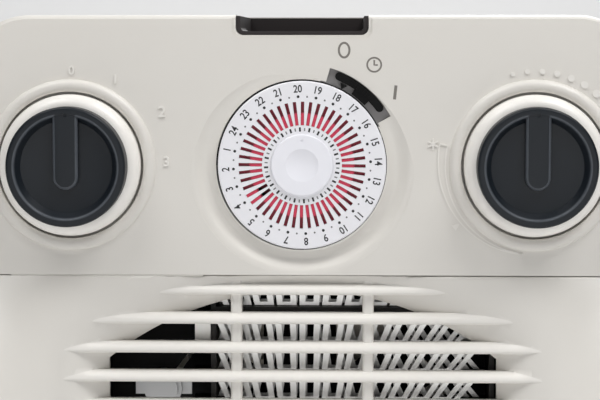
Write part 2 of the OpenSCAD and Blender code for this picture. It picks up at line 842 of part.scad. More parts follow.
module selector_cap() {
    color([0.17, 0.18, 0.2])
    knob_cap(-knob_x);
}

module thermostat_cap() {
    color([0.17, 0.18, 0.2])
    knob_cap(knob_x);
}

// Flatted metal spindle.
module knob_spindle(x, depth) {
    difference() {
        rod(x, dial_z, skin_y - 7.8, depth + 7.8, spindle_r);
        block(x - 5, x + 5, skin_y - 9, skin_y + 1, dial_z + spindle_r - 0.8, dial_z + 6);
    }
}

module selector_spindle() {
    color([0.7, 0.7, 0.68])
    union() {
        knob_spindle(-knob_x, 22);
        // Rotor of the switch.
        rod(-knob_x, dial_z, skin_y + 13, 5, 8);
        slab(skin_y + 13, 5)
            translate([-knob_x, dial_z]) rotate(45) square([20, 3], center = true);
    }
}

module thermostat_spindle() {
    color([0.7, 0.7, 0.68])
    union() {
        knob_spindle(knob_x, 14.2);
        tube(knob_x, dial_z, skin_y + 14, 3, 0.5, 4.5);
        // Insulated tip that presses the contact spring.
        rod(knob_x, dial_z, skin_y + 16.5, 2.6, 1.6);
    }
}

// Moulded case of the rotary selector, open inside for the rotor.
module selector_switch() {
    y0 = control_y;
    hw = 17;
    cavity_r = 13;
    cavity_d = 16;
    front_t = 2.2;
    color([0.2, 0.2, 0.2])
    difference() {
        union() {
            slab(y0, switch_d)
                translate([-knob_x, dial_z]) round_rect(-hw, hw, -hw, hw, 4);
            rod(-knob_x, dial_z, y0 - 3, 4, bush_r);
        }
        rod(-knob_x, dial_z, y0 + front_t, cavity_d, cavity_r);
        rod(-knob_x, dial_z, y0 - 4, 8, spindle_r + run_fit);
        for (t = [-1, 1])
            rod(-knob_x + t * fix_r, dial_z - t * fix_r, y0 - 1, 30, 1.3);
    }
}

module selector_terminals() {
    y0 = control_y + switch_d;
    ring_r = 9;
    tab_w = 4.8;
    tab_t = 0.8;
    tab_l = 8;
    color([0.8, 0.65, 0.3])
    for (a = [0:60:300])
        translate([-knob_x + pol(ring_r, a)[0], y0, dial_z + pol(ring_r, a)[1]])
            rotate([0, a, 0])
                difference() {
                    translate([-tab_w / 2, 0, -tab_t / 2]) cube([tab_w, tab_l, tab_t]);
                    translate([0, 5, -2]) cylinder(r = 0.8, h = 4);
                }
}

// Steel frame and stacked ceramic washers of the room thermostat.
module thermostat_frame() {
    y0 = control_y;
    stack_l = 20;
    color([0.75, 0.75, 0.74])
    difference() {
        union() {
            slab(y0, frame_t)
                translate([knob_x, dial_z]) round_rect(-16, 16, -18, 16, 2);
            rod(knob_x, dial_z, y0 - 3, 4, 5);
            // Stack that clamps the springs.
            rod(knob_x, dial_z - clamp_dz, y0, stack_l, clamp_r);
        }
        rod(knob_x, dial_z, y0 - 4, 8, spindle_r + run_fit);
        for (t = [-1, 1])
            rod(knob_x + t * fix_r, dial_z + t * fix_r, y0 - 1, 4, 1.3);
    }
}

module thermostat_bimetal() {
    y0 = control_y;
    hw = 4.5;
    color([0.72, 0.66, 0.58])
    difference() {
        slab(y0 + 16, 1) {
            translate([knob_x - hw, dial_z - 18]) square([2 * hw, 36]);
            translate([knob_x, dial_z + 18]) circle(r = hw);
        }
        rod(knob_x, dial_z - clamp_dz, y0 + 10, 10, clamp_r);
    }
}

module thermostat_contact() {
    y0 = control_y;
    hw = 3.5;
    leaf_t = 0.7;
    color([0.82, 0.66, 0.32])
    difference() {
        union() {
            slab(y0 + 12, leaf_t) {
                translate([knob_x - hw, dial_z - 18]) square([2 * hw, 34]);
            }
            // Silver contact, touching the bimetal strip.
            rod(knob_x, dial_z + 13, y0 + 12.5, 3.5, 1.8);
            // Terminal tab.
            slab(y0 + 12, leaf_t)
                translate([knob_x - 2.4, dial_z - 27]) square([4.8, 10]);
        }
        rod(knob_x, dial_z - clamp_dz, y0 + 10, 10, clamp_r);
    }
}

// ---- timer ----

// White dial: 48 radial slots, spokes between them, a rim and a hub.
module timer_dial() {
    color([0.92, 0.93, 0.94])
    difference() {
        union() {
            turned(0, dial_z, dial_y) {
                polygon([[0, -dial_t], [dial_r, -dial_t], [dial_r, -0.5], [dial_r - 0.5, 0], [0, 0]]);
                translate([dial_r - 3.2, -dial_t - 1.5]) square([1.4, 2]);
            }
            rod(0, dial_z, dial_y + 1, wheel_y + wheel_t - dial_y - 1, 6);
        }
        dial_slab(dial_y - 1, dial_t + 2)
            for (k = [0:slot_n - 1])
                rotate(-slot_angle(k))
                    translate([-slot_w / 2, slot_r0])
                        square([slot_w, slot_r1 - slot_r0]);
        rod(0, dial_z, dial_y - 1, 1.7, hub_cap_r + 0.05);
        rod(0, dial_z, dial_y - 1, 30, shaft_r + run_fit);
    }
}

// Centre cap of the dial with a soft finger hollow.
module timer_cap() {
    color([0.94, 0.94, 0.96])
    difference() {
        turned(0, dial_z, dial_y) {
            translate([0, -0.7]) square([hub_cap_r, 1.1]);
            translate([0, 0.4]) square([hub_cap_r - 0.8, 0.8]);
            translate([hub_cap_r - 0.8, 0.4]) circle(r = 0.8);
        }
        translate([0, dial_y - 1.2 - 24, dial_z]) sphere(r = 24.9);
        rod(0, dial_z + hub_cap_r - 2.6, dial_y - 2, 1.2, 0.55);
    }
}

module dial_wheel() {
    color([0.85, 0.82, 0.74])
    dial_slab(wheel_y, wheel_t)
        difference() {
            gear_outline(wheel_teeth, wheel_m);
            circle(r = 6);
            for (a = [45:90:315])
                translate(pol(12.5, a)) circle(r = 4);
        }
}

// One red tappet: finger in the slot, foot and switching tail behind the dial.
module tappet(k) {
    out = tappet_out(k);
    foot_w = 1.7;
    tail_w = 1.2;
    tail_l = 1.3;
    translate([0, 0, dial_z])
        rotate([0, slot_angle(k), 0])
            translate([0, 0, slot_r0 + 0.1 + out]) {
                translate([-tappet_w / 2, dial_y + 0.3, 0])
                    cube([tappet_w, dial_t, tappet_l]);
                translate([-foot_w / 2, foot_y, -0.4])
                    cube([foot_w, foot_t, tappet_l + 0.8]);
                translate([-tail_w / 2, foot_y + foot_t - 0.05, tappet_l - 1.1])
                    cube([tail_w, 3.15, tail_l]);
            }
}

module tappets() {
    color([0.78, 0.14, 0.24])
    for (k = [0:slot_n - 1])
        if (k < single_first || k >= single_first + single_count)
            tappet(k);
}

module tappet_a() {
    color([0.78, 0.14, 0.24])
    tappet(single_first);
}

module tappet_b() {
    color([0.78, 0.14, 0.24])
    tappet(single_first + 1);
}

module tappet_c() {
    color([0.78, 0.14, 0.24])
    tappet(single_first + 2);
}

module tappet_d() {
    color([0.78, 0.14, 0.24])
    tappet(single_first + 3);
}

module tappet_e() {
    color([0.78, 0.14, 0.24])
    tappet(single_first + 4);
}

module tappet_f() {
    color([0.78, 0.14, 0.24])
    tappet(single_first + 5);
}

// Cup behind the dial, three ears, window for the feeler.
module timer_case() {
    ip = pol(idler_c, idler_a);
    pp = pol(pinion_r_at, idler_a);
    color([0.16, 0.16, 0.17])
    difference() {
        union() {
            tube(0, dial_z, skin_y + 6, case_floor_y - skin_y - 6, case_r - case_wall, case_r);
            rod(0, dial_z, case_floor_y, case_floor_t, case_r);
            for (a = ear_angles)
                dial_slab(ear_y, ear_t)
                    difference() {
                        union() {
                            rotate(-a)
                                translate([-3.6, case_r - case_wall / 2])
                                    square([7.2, ear_r - case_r + case_wall / 2]);
                            translate(pol(ear_r, a)) circle(r = 3.6);
                        }
                        translate(pol(ear_r, a)) circle(r = 1.4);
                    }
            rod(ip[0], dial_z + ip[1], wheel_y - 1, case_floor_y - wheel_y + 1.2, 1);
            // Pin of the feeler.
            rod(feeler_p[0], dial_z + feeler_p[1], foot_y + foot_t + 0.4,
                case_floor_y - foot_y - foot_t - 0.3, 1);
        }
        rod(pp[0], dial_z + pp[1], case_floor_y - 1, 4, 2);
        // Window for the feeler tail.
        dial_slab(skin_y + 5, 6.5)
            ring_sector(case_r - 3, case_r + 1, 62, 82);
    }
}

module timer_post() {
    color([0.75, 0.75, 0.74])
    union() {
        rod(0, dial_z, dial_y + 1.2, case_floor_y - dial_y - 1.2, shaft_r);
        rod(0, dial_z, case_floor_y - 1, 1, 4);
    }
}

// Black triangle that points at the hour.
module time_pointer() {
    tip_r = dial_r + 0.55;
    base_r = dial_r + 2.6;
    half = 1.5;
    color([0.08, 0.08, 0.08])
    dial_slab(skin_y + 0.4, floor_y - skin_y - 0.4)
        rotate(-pointer_a)
            polygon([[0, tip_r], [half, base_r], [-half, base_r]]);
}

// Fixed grey floor of the switch window.
module switch_floor() {
    color([0.5, 0.49, 0.49])
    difference() {
        dial_slab(floor_y, floor_t)
            ring_sector(dial_r + 0.5, window_r + 2.2, window_a0 - floor_edge, window_a1 + floor_edge);
        dial_slab(floor_y - 1, floor_t + 2)
            ring_sector(stem_r0 - 0.4, stem_r1 + 0.4, slider_mid - slider_swing - arm_hw - 4,
                        slider_mid + slider_swing + arm_hw + 4);
    }
}

// Black three-position slider with a ribbed finger grip.
module switch_slider() {
    r0 = slider_r0;
    r1 = window_r - 0.35;
    rm = (r0 + r1) / 2;
    rw = (r1 - r0) / 2;
    da = rw / rm * 180 / PI;
    mid = slider_mid;
    color([0.08, 0.08, 0.08])
    union() {
        dial_slab(slider_y, floor_y - slider_y - 0.3) {
            ring_sector(r0, r1, slider_a0 + da, slider_a1 - da);
            for (a = [slider_a0 + da, slider_a1 - da])
                translate(pol(rm, a)) circle(r = rw);
        }
        // Step next to the dial.
        dial_slab(slider_y + 0.5, floor_y - slider_y - 0.8)
            ring_sector(dial_r + 0.9, r0 + 0.5, mid - 3.4, mid + 8);
        // Grip ribs.
        for (k = [-3:3])
            dial_slab(slider_y - 0.6, 1)
                ring_sector(r0 + 0.5, r1 - 0.5, mid + k * 2.2 - 0.6, mid + k * 2.2 + 0.6);
        // Stem through the floor and arm to the switch.
        dial_slab(floor_y - 0.5, floor_t + 2)
            ring_sector(stem_r0, stem_r1, mid - arm_hw, mid + arm_hw);
        dial_slab(floor_y + floor_t + 0.5, control_y - floor_y - floor_t - 0.7)
            ring_sector(case_r + 1.1, arm_r1, mid - arm_hw, mid + arm_hw);
    }
}

// Contact block of the slide switch, worked by the arm of the slider.
module slide_switch() {
    color([0.22, 0.22, 0.22])
    difference() {
        union() {
            dial_slab(control_y, 9)
                rotate(-slider_mid) translate([-switch_hw, switch_r0]) square([2 * switch_hw, switch_l]);
            // Lugs that hold it off the panel.
            dial_slab(skin_y + 4.3, control_y - skin_y - 4)
                rotate(-slider_mid)
                    for (s = [-1, 1])
                        translate([s * (switch_hw - 1.5) - 1.5, switch_r0 + 1]) square([3, switch_l - 2]);
        }
        // Slot for the end of the arm.
        dial_slab(control_y - 0.4, 4)
            rotate(-slider_mid) translate([4 - switch_hw, switch_r0 + 1.5]) square([2 * switch_hw - 8, 8]);
    }
}

// Bell crank that feels the tails of the tappets that are pushed out.
module feeler_lever() {
    p = feeler_p;
    arm_t = 1.8;
    color([0.85, 0.8, 0.6])
    difference() {
        dial_slab(foot_y + foot_t + 0.6, arm_t) {
            translate(p) circle(r = 2.2);
            // Curved arm to the nose, just outside the ring of tails at rest.
            ring_sector(feeler_r0, feeler_r0 + 1.7, 36, 66);
            translate(pol(feeler_r0 - 0.5, 37.5)) circle(r = 1.6);
            // Tail through the window of the case.
            translate([p[0], p[1] - 0.9]) rotate(-4) square([8.2, arm_t]);
        }
        rod(p[0], dial_z + p[1], foot_y, 10, 1 + run_fit);
    }
}

// Snap contact beside the case, worked by the tail of the feeler.
module timer_contact() {
    x1 = case_r + 9;
    z0 = dial_z + 1;
    y_mid = skin_y + 10.2;
    color([0.24, 0.24, 0.25])
    difference() {
        union() {
            block(case_r - 0.6, x1, y_mid, y_mid + 4.8, z0, z0 + 10);
            block(case_r + 1.4, x1, y_mid - 3.4, y_mid + 0.2, z0, z0 + 7);
        }
        rod(0, dial_z, skin_y, 20, case_r);
    }
}

// Double idler: small pinion in mesh with the dial wheel, large wheel behind it.
module idler_gear() {
    ip = pol(idler_c, idler_a);
    color([0.85, 0.82, 0.74])
    difference() {
        union() {
            dial_slab(wheel_y, wheel_t + 1)
                translate(ip) rotate(idler_turn()) gear_outline(idler_small, wheel_m);
            dial_slab(idler_y, idler_t)
                translate(ip) rotate(big_turn()) gear_outline(idler_big, idler_m);
        }
        rod(ip[0], dial_z + ip[1], wheel_y - 2, 12, 1 + run_fit);
    }
}

// Turns that put a tooth of one wheel into a gap of the other.
function idler_turn() = -(idler_a + 180 + (180 / idler_small)
    - (idler_a * wheel_teeth / 360 - floor(idler_a * wheel_teeth / 360)) * 360 / idler_small);
function big_turn() = -(idler_a + 180);

module drive_pinion() {
    pp = pol(pinion_r_at, idler_a);
    color([0.8, 0.66, 0.34])
    union() {
        dial_slab(idler_y, idler_t)
            translate(pp) rotate(-(idler_a + 180 / pinion_teeth)) gear_outline(pinion_teeth, idler_m);
        rod(pp[0], dial_z + pp[1], idler_y + 0.2, case_floor_y - idler_y + 3, 1);
    }
}

// Synchronous motor of the timer: round can, mounting bar and wire outlet.
module timer_motor() {
    pp = pol(pinion_r_at, idler_a);
    y0 = case_floor_y + case_floor_t;
    can_r = 17;
    can_d = 11;
    bar_hw = 4;
    hole_x = 21;
    color([0.78, 0.74, 0.6])
    difference() {
        union() {
            rod(pp[0], dial_z + pp[1], y0, can_d, can_r);
            slab(y0, 1) {
                translate([pp[0] - hole_x, dial_z + pp[1] - bar_hw]) square([2 * hole_x, 2 * bar_hw]);
                for (s = [-1, 1])
                    translate([pp[0] + s * hole_x, dial_z + pp[1]]) circle(r = bar_hw);
            }
            block(pp[0] - 5, pp[0] + 5, y0 + 2, y0 + 9,
                  dial_z + pp[1] - can_r - 5, dial_z + pp[1] - can_r + 2);
        }
        rod(pp[0], dial_z + pp[1], y0 - 1, 3, 1.4);
        for (s = [-1, 1])
            rod(pp[0] + s * hole_x, dial_z + pp[1], y0 - 1, 4, 1.4);
    }
}

// ---- air side ----

// Black duct: frame round the heater, plate with fan ring, motor spider.
module air_duct() {
    hw = duct_hw;
    hh = duct_hh;
    color([0.1, 0.1, 0.1])
    difference() {
        union() {
            slab(duct_y0, duct_plate_y - duct_y0 + duct_t)
                translate([0, air_z])
                    difference() {
                        round_rect(-hw, hw, -hh, hh, duct_corner);
                        round_rect(-hw + duct_t, hw - duct_t, -hh + duct_t, hh - duct_t,
                                   duct_corner - duct_t);
                    }
            slab(duct_plate_y, duct_t)
                translate([0, air_z])
                    difference() {
                        round_rect(-hw, hw, -hh, hh, duct_corner);
                        circle(r = fan_r + fan_gap);
                    }
            tube(0, air_z, duct_plate_y, ring_back_y - duct_plate_y, fan_r + fan_gap, fan_r + fan_gap + 2);
            for (s = [-1, 1], t = [-1, 1])
                slab(duct_plate_y, duct_t)
                    translate([s * duct_post_x, air_z + t * duct_post_dz]) {
                        circle(r = 6);
                        translate([s > 0 ? -14 : 0, -6]) square([14, 12]);
                    }
            // Spider that carries the motor.
            for (a = [45:90:315])
                slab(spider_y, 4)
                    translate([0, air_z]) rotate(a) translate([20, -3]) square([fan_r + fan_gap - 19, 6]);
            tube(0, air_z, spider_y, 4, 18, 24);
        }
        for (s = [-1, 1], t = [-1, 1])
            rod(s * duct_post_x, air_z + t * duct_post_dz, duct_plate_y - 1, 5, screw_r);
    }
}

// Section of one blade: an arc as wide as the chord.
module blade_section(camber_r, half_t) {
    intersection() {
        translate([0, camber_r])
            difference() {
                circle(r = camber_r + half_t);
                circle(r = camber_r - half_t);
            }
        translate([-blade_chord / 2, -4]) square([blade_chord, 12]);
    }
}

// Axial wheel: hub and cambered, pitched blades.
module fan_wheel() {
    hub_r = 16;
    hub_edge = 2;
    camber_r = 42;
    half_t = 0.9;
    color([0.22, 0.22, 0.23])
    difference() {
        union() {
            // Hub with a rounded front edge.
            turned(0, air_z, fan_y - 10) {
                translate([0, -20]) square([hub_r, 18]);
                translate([0, -hub_edge - 0.1]) square([hub_r - hub_edge, hub_edge + 0.1]);
                translate([hub_r - hub_edge, -hub_edge]) circle(r = hub_edge);
            }
            intersection() {
                for (i = [0:blade_n - 1])
                    translate([0, fan_y, air_z])
                        rotate([0, i * 360 / blade_n, 0])
                            rotate([0, 0, blade_pitch])
                                linear_extrude(height = fan_r + 4)
                                    blade_section(camber_r, half_t);
                rod(0, air_z, fan_y - 20, 40, fan_r);
            }
        }
        tube(0, air_z, fan_y - 8, 30, 5, hub_r - 2);
        rod(0, air_z, fan_y - 9, 30, shaft_r);
    }
}

module motor_shaft() {
    color([0.78, 0.78, 0.78])
    rod(0, air_z, fan_y - 9, stack_y + stack_d + 12 - fan_y + 9, shaft_r);
}

module motor_rotor() {
    color([0.6, 0.6, 0.62])
    tube(0, air_z, stack_y - 1, stack_d + 2, shaft_r, rotor_r);
}

// Stack of laminations with the rotor bore and a window for the coil.
module motor_stator() {
    pole_hw = 30;
    leg_hw = 24;
    leg_low = coil_low + 9;
    color([0.45, 0.46, 0.48])
    slab(stack_y, stack_d)
        translate([0, air_z])
            difference() {
                union() {
                    round_rect(-pole_hw, pole_hw, -23, 25, 2);
                    round_rect(-leg_hw, leg_hw, -leg_low, -20, 2);
                }
                circle(r = rotor_r + 0.4);
                // Window over the leg that the coil sits on.
                translate([-coil_hw - 0.5, -coil_low]) square([2 * coil_hw + 1, 24]);
                for (s = [-1, 1])
                    translate([s * bolt_x, bolt_dz]) circle(r = 1.7);
                // Shading slots.
                for (s = [-1, 1], a = [50, 230])
                    translate(pol(rotor_r + 2.6, a)) circle(r = 1);
            }
}

// Wound coil on the lower leg of the laminations.
module motor_coil() {
    color([0.72, 0.4, 0.2])
    difference() {
        block(-coil_hw, coil_hw, stack_y - coil_t, stack_y + stack_d + coil_t,
              air_z - coil_low - 9 - coil_t, air_z - coil_low + coil_t);
        block(-20, 20, stack_y, stack_y + stack_d, air_z - coil_low - 9, air_z - coil_low);
    }
}

module motor_bracket(y0, t, dir) {
    boss_d = 4;
    difference() {
        union() {
            slab(y0, t)
                translate([0, air_z]) {
                    round_rect(-29, 29, bolt_dz - 5, bolt_dz + 5, 4);
                    circle(r = 9);
                    translate([-5, 0]) square([10, bolt_dz]);
                    translate([-5, -19]) square([10, 20]);
                }
            rod(0, air_z, dir > 0 ? y0 : y0 - boss_d, t + boss_d, 6.4);
        }
        rod(0, air_z, y0 - 6, 14, shaft_r + run_fit);
        for (s = [-1, 1])
            rod(s * bolt_x, air_z + bolt_dz, y0 - 1, t + 2, 1.7);
    }
}

module motor_front_bracket() {
    plate_y = stack_y - 5;
    foot_d = plate_y - ring_back_y + 0.2;
    color([0.74, 0.74, 0.72])
    union() {
        motor_bracket(plate_y, bracket_t, -1);
        for (s = [-1, 1])
            tube(s * bolt_x, air_z + bolt_dz, plate_y + bracket_t, 5 - bracket_t, 1.7, 3.4);
        // Feet on the spider ring.
        for (s = [-1, 1])
            slab(ring_back_y, foot_d)
                translate([s * 18.6 - 2, air_z + 8.5]) square([4, 6]);
        slab(ring_back_y, foot_d)
            translate([-3, air_z - 23.5]) square([6, 5]);
        slab(plate_y, bracket_t)
            translate([-3, air_z - 23.5]) square([6, 8]);
    }
}

module motor_rear_bracket() {
    color([0.74, 0.74, 0.72])
    union() {
        motor_bracket(stack_y + stack_d + 3.4, bracket_t, 1);
        for (s = [-1, 1])
            tube(s * bolt_x, air_z + bolt_dz, stack_y + stack_d, 3.5, 1.7, 3.4);
    }
}

// Machine screw: head at the back, shank running forward from y0.
module screw(x, z, y0, l, r, hr, hh) {
    edge = 0.6;
    difference() {
        union() {
            rod(x, z, y0 - l, l + 0.1, r);
            turned(x, z, y0 + hh) {
                translate([0, 0]) square([hr - edge, hh]);
                translate([0, edge]) square([hr, hh - edge]);
                translate([hr - edge, edge]) circle(r = edge);
            }
        }
        // Cross slot.
        for (a = [0, 90])
            translate([x, y0 + hh + 0.1, z]) rotate([0, a, 0])
                cube([2.6, 2, 0.7], center = true);
    }
}

module motor_screws() {
    color([0.8, 0.8, 0.8])
    for (s = [-1, 1]) {
        screw(s * bolt_x, air_z + bolt_dz, stack_y + stack_d + 5, stack_d + 11, 1.65, 3.2, 2);
        // Nut in front of the front bracket.
        tube(s * bolt_x, air_z + bolt_dz, stack_y - 7.2, 2.2, 1.65, 3);
    }
}

// Boards that hold the ribbon, one above and below every row, between two
// uprights; thicker carrier boards second from the top and from the bottom.
module heater_frame() {
    x0 = heater_x0 - 2;
    x1 = heater_x1 + 1.2;
    tie_t = 1.6;
    tie_z = duct_in_z - 0.2 - tie_t / 2;
    color([0.2, 0.17, 0.14])
    union() {
        for (k = [0:ribbon_rows])
            block(heater_x0 - 10, x1, heater_y0 + 3, heater_y0 + heater_d - 3,
                  board_z(k) - board_h / 2, board_z(k) + board_h / 2);
        for (x = [x0, x1])
            block(x, x + 2, heater_y0, heater_y0 + heater_d, air_z - duct_in_z + 1, air_z + duct_in_z - 1);
        // Carrier boards.
        block(x0, x1, heater_y0, heater_y0 + heater_d, board_z(1) - board_h / 2, board_z(1) + carrier_h);
        block(x0, x1, heater_y0, heater_y0 + heater_d,
              board_z(ribbon_rows - 1) - carrier_h, board_z(ribbon_rows - 1) + board_h / 2);
        // Ties that lie against the top and bottom of the duct.
        for (t = [-1, 1])
            block(x0, x1 + 2, heater_y0 + 2, heater_y0 + heater_d,
                  air_z + t * tie_z - tie_t / 2, air_z + t * tie_z + tie_t / 2);
    }
}

// White ceramic blocks that take the ends of the ribbon, in the second row
// from the top and from the bottom.
module heater_block() {
    color([0.93, 0.92, 0.9])
    for (k = [1, ribbon_rows - 2])
        block(heater_x0 - 8.6, heater_x0 - 2.2, heater_y0 + 0.5, heater_y0 + heater_d - 1,
              board_z(k + 1) + board_h / 2 + 0.1, board_z(k) - board_h / 2 - 0.1);
}

// A point of the ribbon outline, leaned away from the middle of the outlet.
function leaned(u, v, side) = [u * (1 + side * ribbon_lean * v), v];

// Outline of one row of ribbon: hairpins folded shut at the top and joined at
// the bottom. Half height h, with the same strip width in legs and folds.
function ribbon_outline(h, side) =
    let (c0 = heater_x0 + ribbon_step / 2)
    let (outer = ribbon_slot / 2 + ribbon_w, inner = ribbon_slot / 2, fold = 1.4)
    concat(
        [for (i = [0:hairpin_n - 1]) for (q = [[-outer, -1], [-outer, 1], [outer, 1], [outer, -1]])
            let (first = i == 0 && q[0] < 0, last = i == hairpin_n - 1 && q[0] > 0)
            leaned(c0 + i * ribbon_step + q[0], q[1] > 0 ? h : (first || last ? -h : fold - h), side)],
        [for (i = [hairpin_n - 1:-1:0]) for (q = [[inner, -1], [inner, 1], [-inner, 1], [-inner, -1]])
            leaned(c0 + i * ribbon_step + q[0], q[1] > 0 ? h - fold : -h, side)]);

// Flat resistance ribbon in hairpins, two layers in every row that lean
// opposite ways.
module heater_ribbon() {
    color([0.8, 0.79, 0.77])
    for (k = [0:ribbon_rows - 1], d = [0, 1])
        let (z = (row_top(k) + row_low(k)) / 2, h = (row_top(k) - row_low(k)) / 2 - 0.2)
        slab(heater_y0 + 4 + d * 8, ribbon_t)
            translate([d * 0.5, z])
                polygon(ribbon_outline(h, (z > air_z - slat_pitch / 2 ? 1 : -1) * (1 - 2 * d)));
}

// Snap-disc cut-out on the plate of the duct, clear of the fan ring.
module thermal_cutout() {
    x = -60;
    dz = 30;
    color([0.8, 0.78, 0.72])
    union() {
        turned(x, air_z + dz, duct_plate_y) {
            square([8, 5]);
            translate([0, 5]) square([6.4, 3]);
        }
        block(x - 12, x + 12, duct_plate_y - 1, duct_plate_y + 0.01, air_z + dz - 3, air_z + dz + 3);
    }
}

// Thermal fuse, a small upright capsule held by two clips.
module thermal_fuse() {
    x = -62;
    body_r = 2;
    clip_hw = 2.4;
    clip_h = 4.5;
    color([0.85, 0.8, 0.75])
    union() {
        translate([x, duct_plate_y - body_r, air_z - 52]) cylinder(r = body_r, h = 14);
        for (z = [-56, -39])
            block(x - clip_hw, x + clip_hw, duct_plate_y - body_r - clip_hw, duct_plate_y,
                  air_z + z, air_z + z + clip_h);
    }
}

// Mains terminal block on the back wall.
module terminal_block() {
    hw = 9;
    depth = 14;
    pitch = 12;
    inner_y = back_y - wall;
    color([0.9, 0.9, 0.88])
    difference() {
        block(block_x - hw, block_x + hw, inner_y - depth, inner_y, block_z - 24, block_z + 16);
        // Screw wells and wire holes of the three poles.
        for (k = [0:2])
            rod(block_x, block_z - 16 + k * pitch, inner_y - depth - 1, 8, 2.6);
        for (k = [0:2])
            translate([block_x - hw - 3, inner_y - 6, block_z - 16 + k * pitch])
                rotate([0, 90, 0]) cylinder(r = 1.9, h = 24);
    }
}

// Bush for the mains cord, with a bell mouth.
module cord_gland() {
    color([0.1, 0.1, 0.1])
    difference() {
        union() {
            rod(gland_x, gland_z, back_y - wall - 9, wall + 8.8, 6.9);
            tube(gland_x, gland_z, back_y - wall - 2.6, 2.6, 3, 9.5);
        }
        rod(gland_x, gland_z, back_y - wall - 10, wall + 12, cord_r);
    }
}

// ---- fixings and feet ----

module housing_screws() {
    color([0.3, 0.3, 0.31])
    for (s = [-1, 1], z = post_zs)
        screw(s * post_x, z, well_y - eps, well_y - split_y + pilot_d - 1, screw_r, head_r, 2.4);
}

module duct_screws() {
    color([0.75, 0.75, 0.75])
    for (s = [-1, 1], t = [-1, 1])
        translate([0, 2 * duct_plate_y, 0])
            mirror([0, 1, 0])
                screw(s * duct_post_x, air_z + t * duct_post_dz, duct_plate_y,
                      12, screw_r - 0.3, head_r, 2.2);
}

// Screws of the timer ears, of the selector and of the thermostat frame.
module panel_screws() {
    color([0.75, 0.75, 0.75]) {
        for (a = ear_angles)
            screw(pol(ear_r, a)[0], dial_z + pol(ear_r, a)[1], ear_y + ear_t, 6, 1.05, 2.4, 1.6);
        for (t = [-1, 1]) {
            screw(t * fix_r - knob_x, dial_z - t * fix_r, control_y + switch_d,
                  switch_d + 2.2, 1.05, 2.2, 1.6);
            screw(t * fix_r + knob_x, dial_z + t * fix_r, control_y + frame_t,
                  frame_t + 2.2, 1.05, 2.2, 1.6);
        }
    }
}

module rubber_feet() {
    color([0.12, 0.12, 0.12])
    for (s = [-1, 1], t = [-1, 1])
        translate([s * foot_x, (back_y + split_y) / 2 + t * foot_dy / 2, 0])
            difference() {
                rotate_extrude() {
                    translate([0, 1]) square([foot_r, foot_h - 1]);
                    square([foot_r - 1, 1.2]);
                    translate([foot_r - 1, 1]) circle(r = 1);
                }
                translate([0, 0, -1]) cylinder(r = 3, h = 4);
            }
}

rear_housing();
control_panel();
front_grille();
handle_cup();
selector_skirt();
selector_cap();
selector_spindle();
selector_switch();
selector_terminals();
thermostat_skirt();
thermostat_cap();
thermostat_spindle();
thermostat_frame();
thermostat_bimetal();
thermostat_contact();
timer_dial();
timer_cap();
dial_wheel();
tappets();
tappet_a();
tappet_b();
tappet_c();
tappet_d();
tappet_e();
tappet_f();
timer_case();
timer_post();
time_pointer();
switch_floor();
switch_slider();
slide_switch();
feeler_lever();
timer_contact();
idler_gear();
drive_pinion();
timer_motor();
air_duct();
fan_wheel();
motor_shaft();
motor_rotor();
motor_stator();
motor_coil();
motor_front_bracket();
motor_rear_bracket();
motor_screws();
heater_frame();
heater_block();
heater_ribbon();
thermal_cutout();
thermal_fuse();
terminal_block();
cord_gland();
housing_screws();
duct_screws();
panel_screws();
rubber_feet();
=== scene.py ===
import math

import bmesh
import bpy
from mathutils import Matrix, Vector
from mathutils.bvhtree import BVHTree


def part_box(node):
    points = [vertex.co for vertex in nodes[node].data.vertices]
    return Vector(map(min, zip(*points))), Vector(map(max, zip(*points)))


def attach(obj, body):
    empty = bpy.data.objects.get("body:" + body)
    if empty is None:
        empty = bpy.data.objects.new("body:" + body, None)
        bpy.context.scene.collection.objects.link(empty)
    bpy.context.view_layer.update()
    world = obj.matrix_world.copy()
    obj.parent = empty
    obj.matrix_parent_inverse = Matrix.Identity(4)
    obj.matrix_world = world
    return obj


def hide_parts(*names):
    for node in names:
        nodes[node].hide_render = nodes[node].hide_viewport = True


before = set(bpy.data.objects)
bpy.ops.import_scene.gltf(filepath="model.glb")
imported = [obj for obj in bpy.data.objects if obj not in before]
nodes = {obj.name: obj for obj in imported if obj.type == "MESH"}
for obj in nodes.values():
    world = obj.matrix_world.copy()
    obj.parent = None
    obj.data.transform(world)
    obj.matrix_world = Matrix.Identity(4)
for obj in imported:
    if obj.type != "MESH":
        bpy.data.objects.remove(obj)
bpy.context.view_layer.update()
MM = 0.001

# --------------------------------------
# The floor, the studio light and the camera.
# A pale seamless sweep; soft lamps high on both sides, one low in front, one behind and one for
# the wall. The camera stands a little above the controls and a little to the right.

dial_lo, dial_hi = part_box("timer_dial")
grille_lo, grille_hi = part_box("front_grille")
dial_centre = Vector(((dial_lo.x + dial_hi.x) / 2, dial_lo.y, (dial_lo.z + dial_hi.z) / 2))
front_y = grille_lo.y

SWEEP_STEPS = 12
CONTROLS = (0, 0, 0.22)
BODY_MIDDLE = (0, 0, 0.15)
SWEEP_WALL = (0, 4.0, 0.8)
AIR_GLOW = 0.06
CAMERA_PLACE = (0.020, -0.75, 0.050)
CAMERA_AIM = (-0.0008, 0.0, -0.014)
LENS, SENSOR = 112.5, 36
WHITE = (1, 1, 1, 1)
PAPER = (0.86, 0.86, 0.86, 1)


def held(name, data):
    """An object in the scene that holds some data."""
    holder = bpy.data.objects.new(name, data)
    bpy.context.collection.objects.link(holder)
    return holder


def set_inputs(node, values):
    """Sets the values of a node's open inputs."""
    for entry, value in values.items():
        node.inputs[entry].default_value = value


def bare_material(name, values):
    """A material with its shader, whose inputs get some values."""
    material = bpy.data.materials.new(name)
    material.use_nodes = True
    shader = material.node_tree.nodes["Principled BSDF"]
    set_inputs(shader, values)
    return material, shader


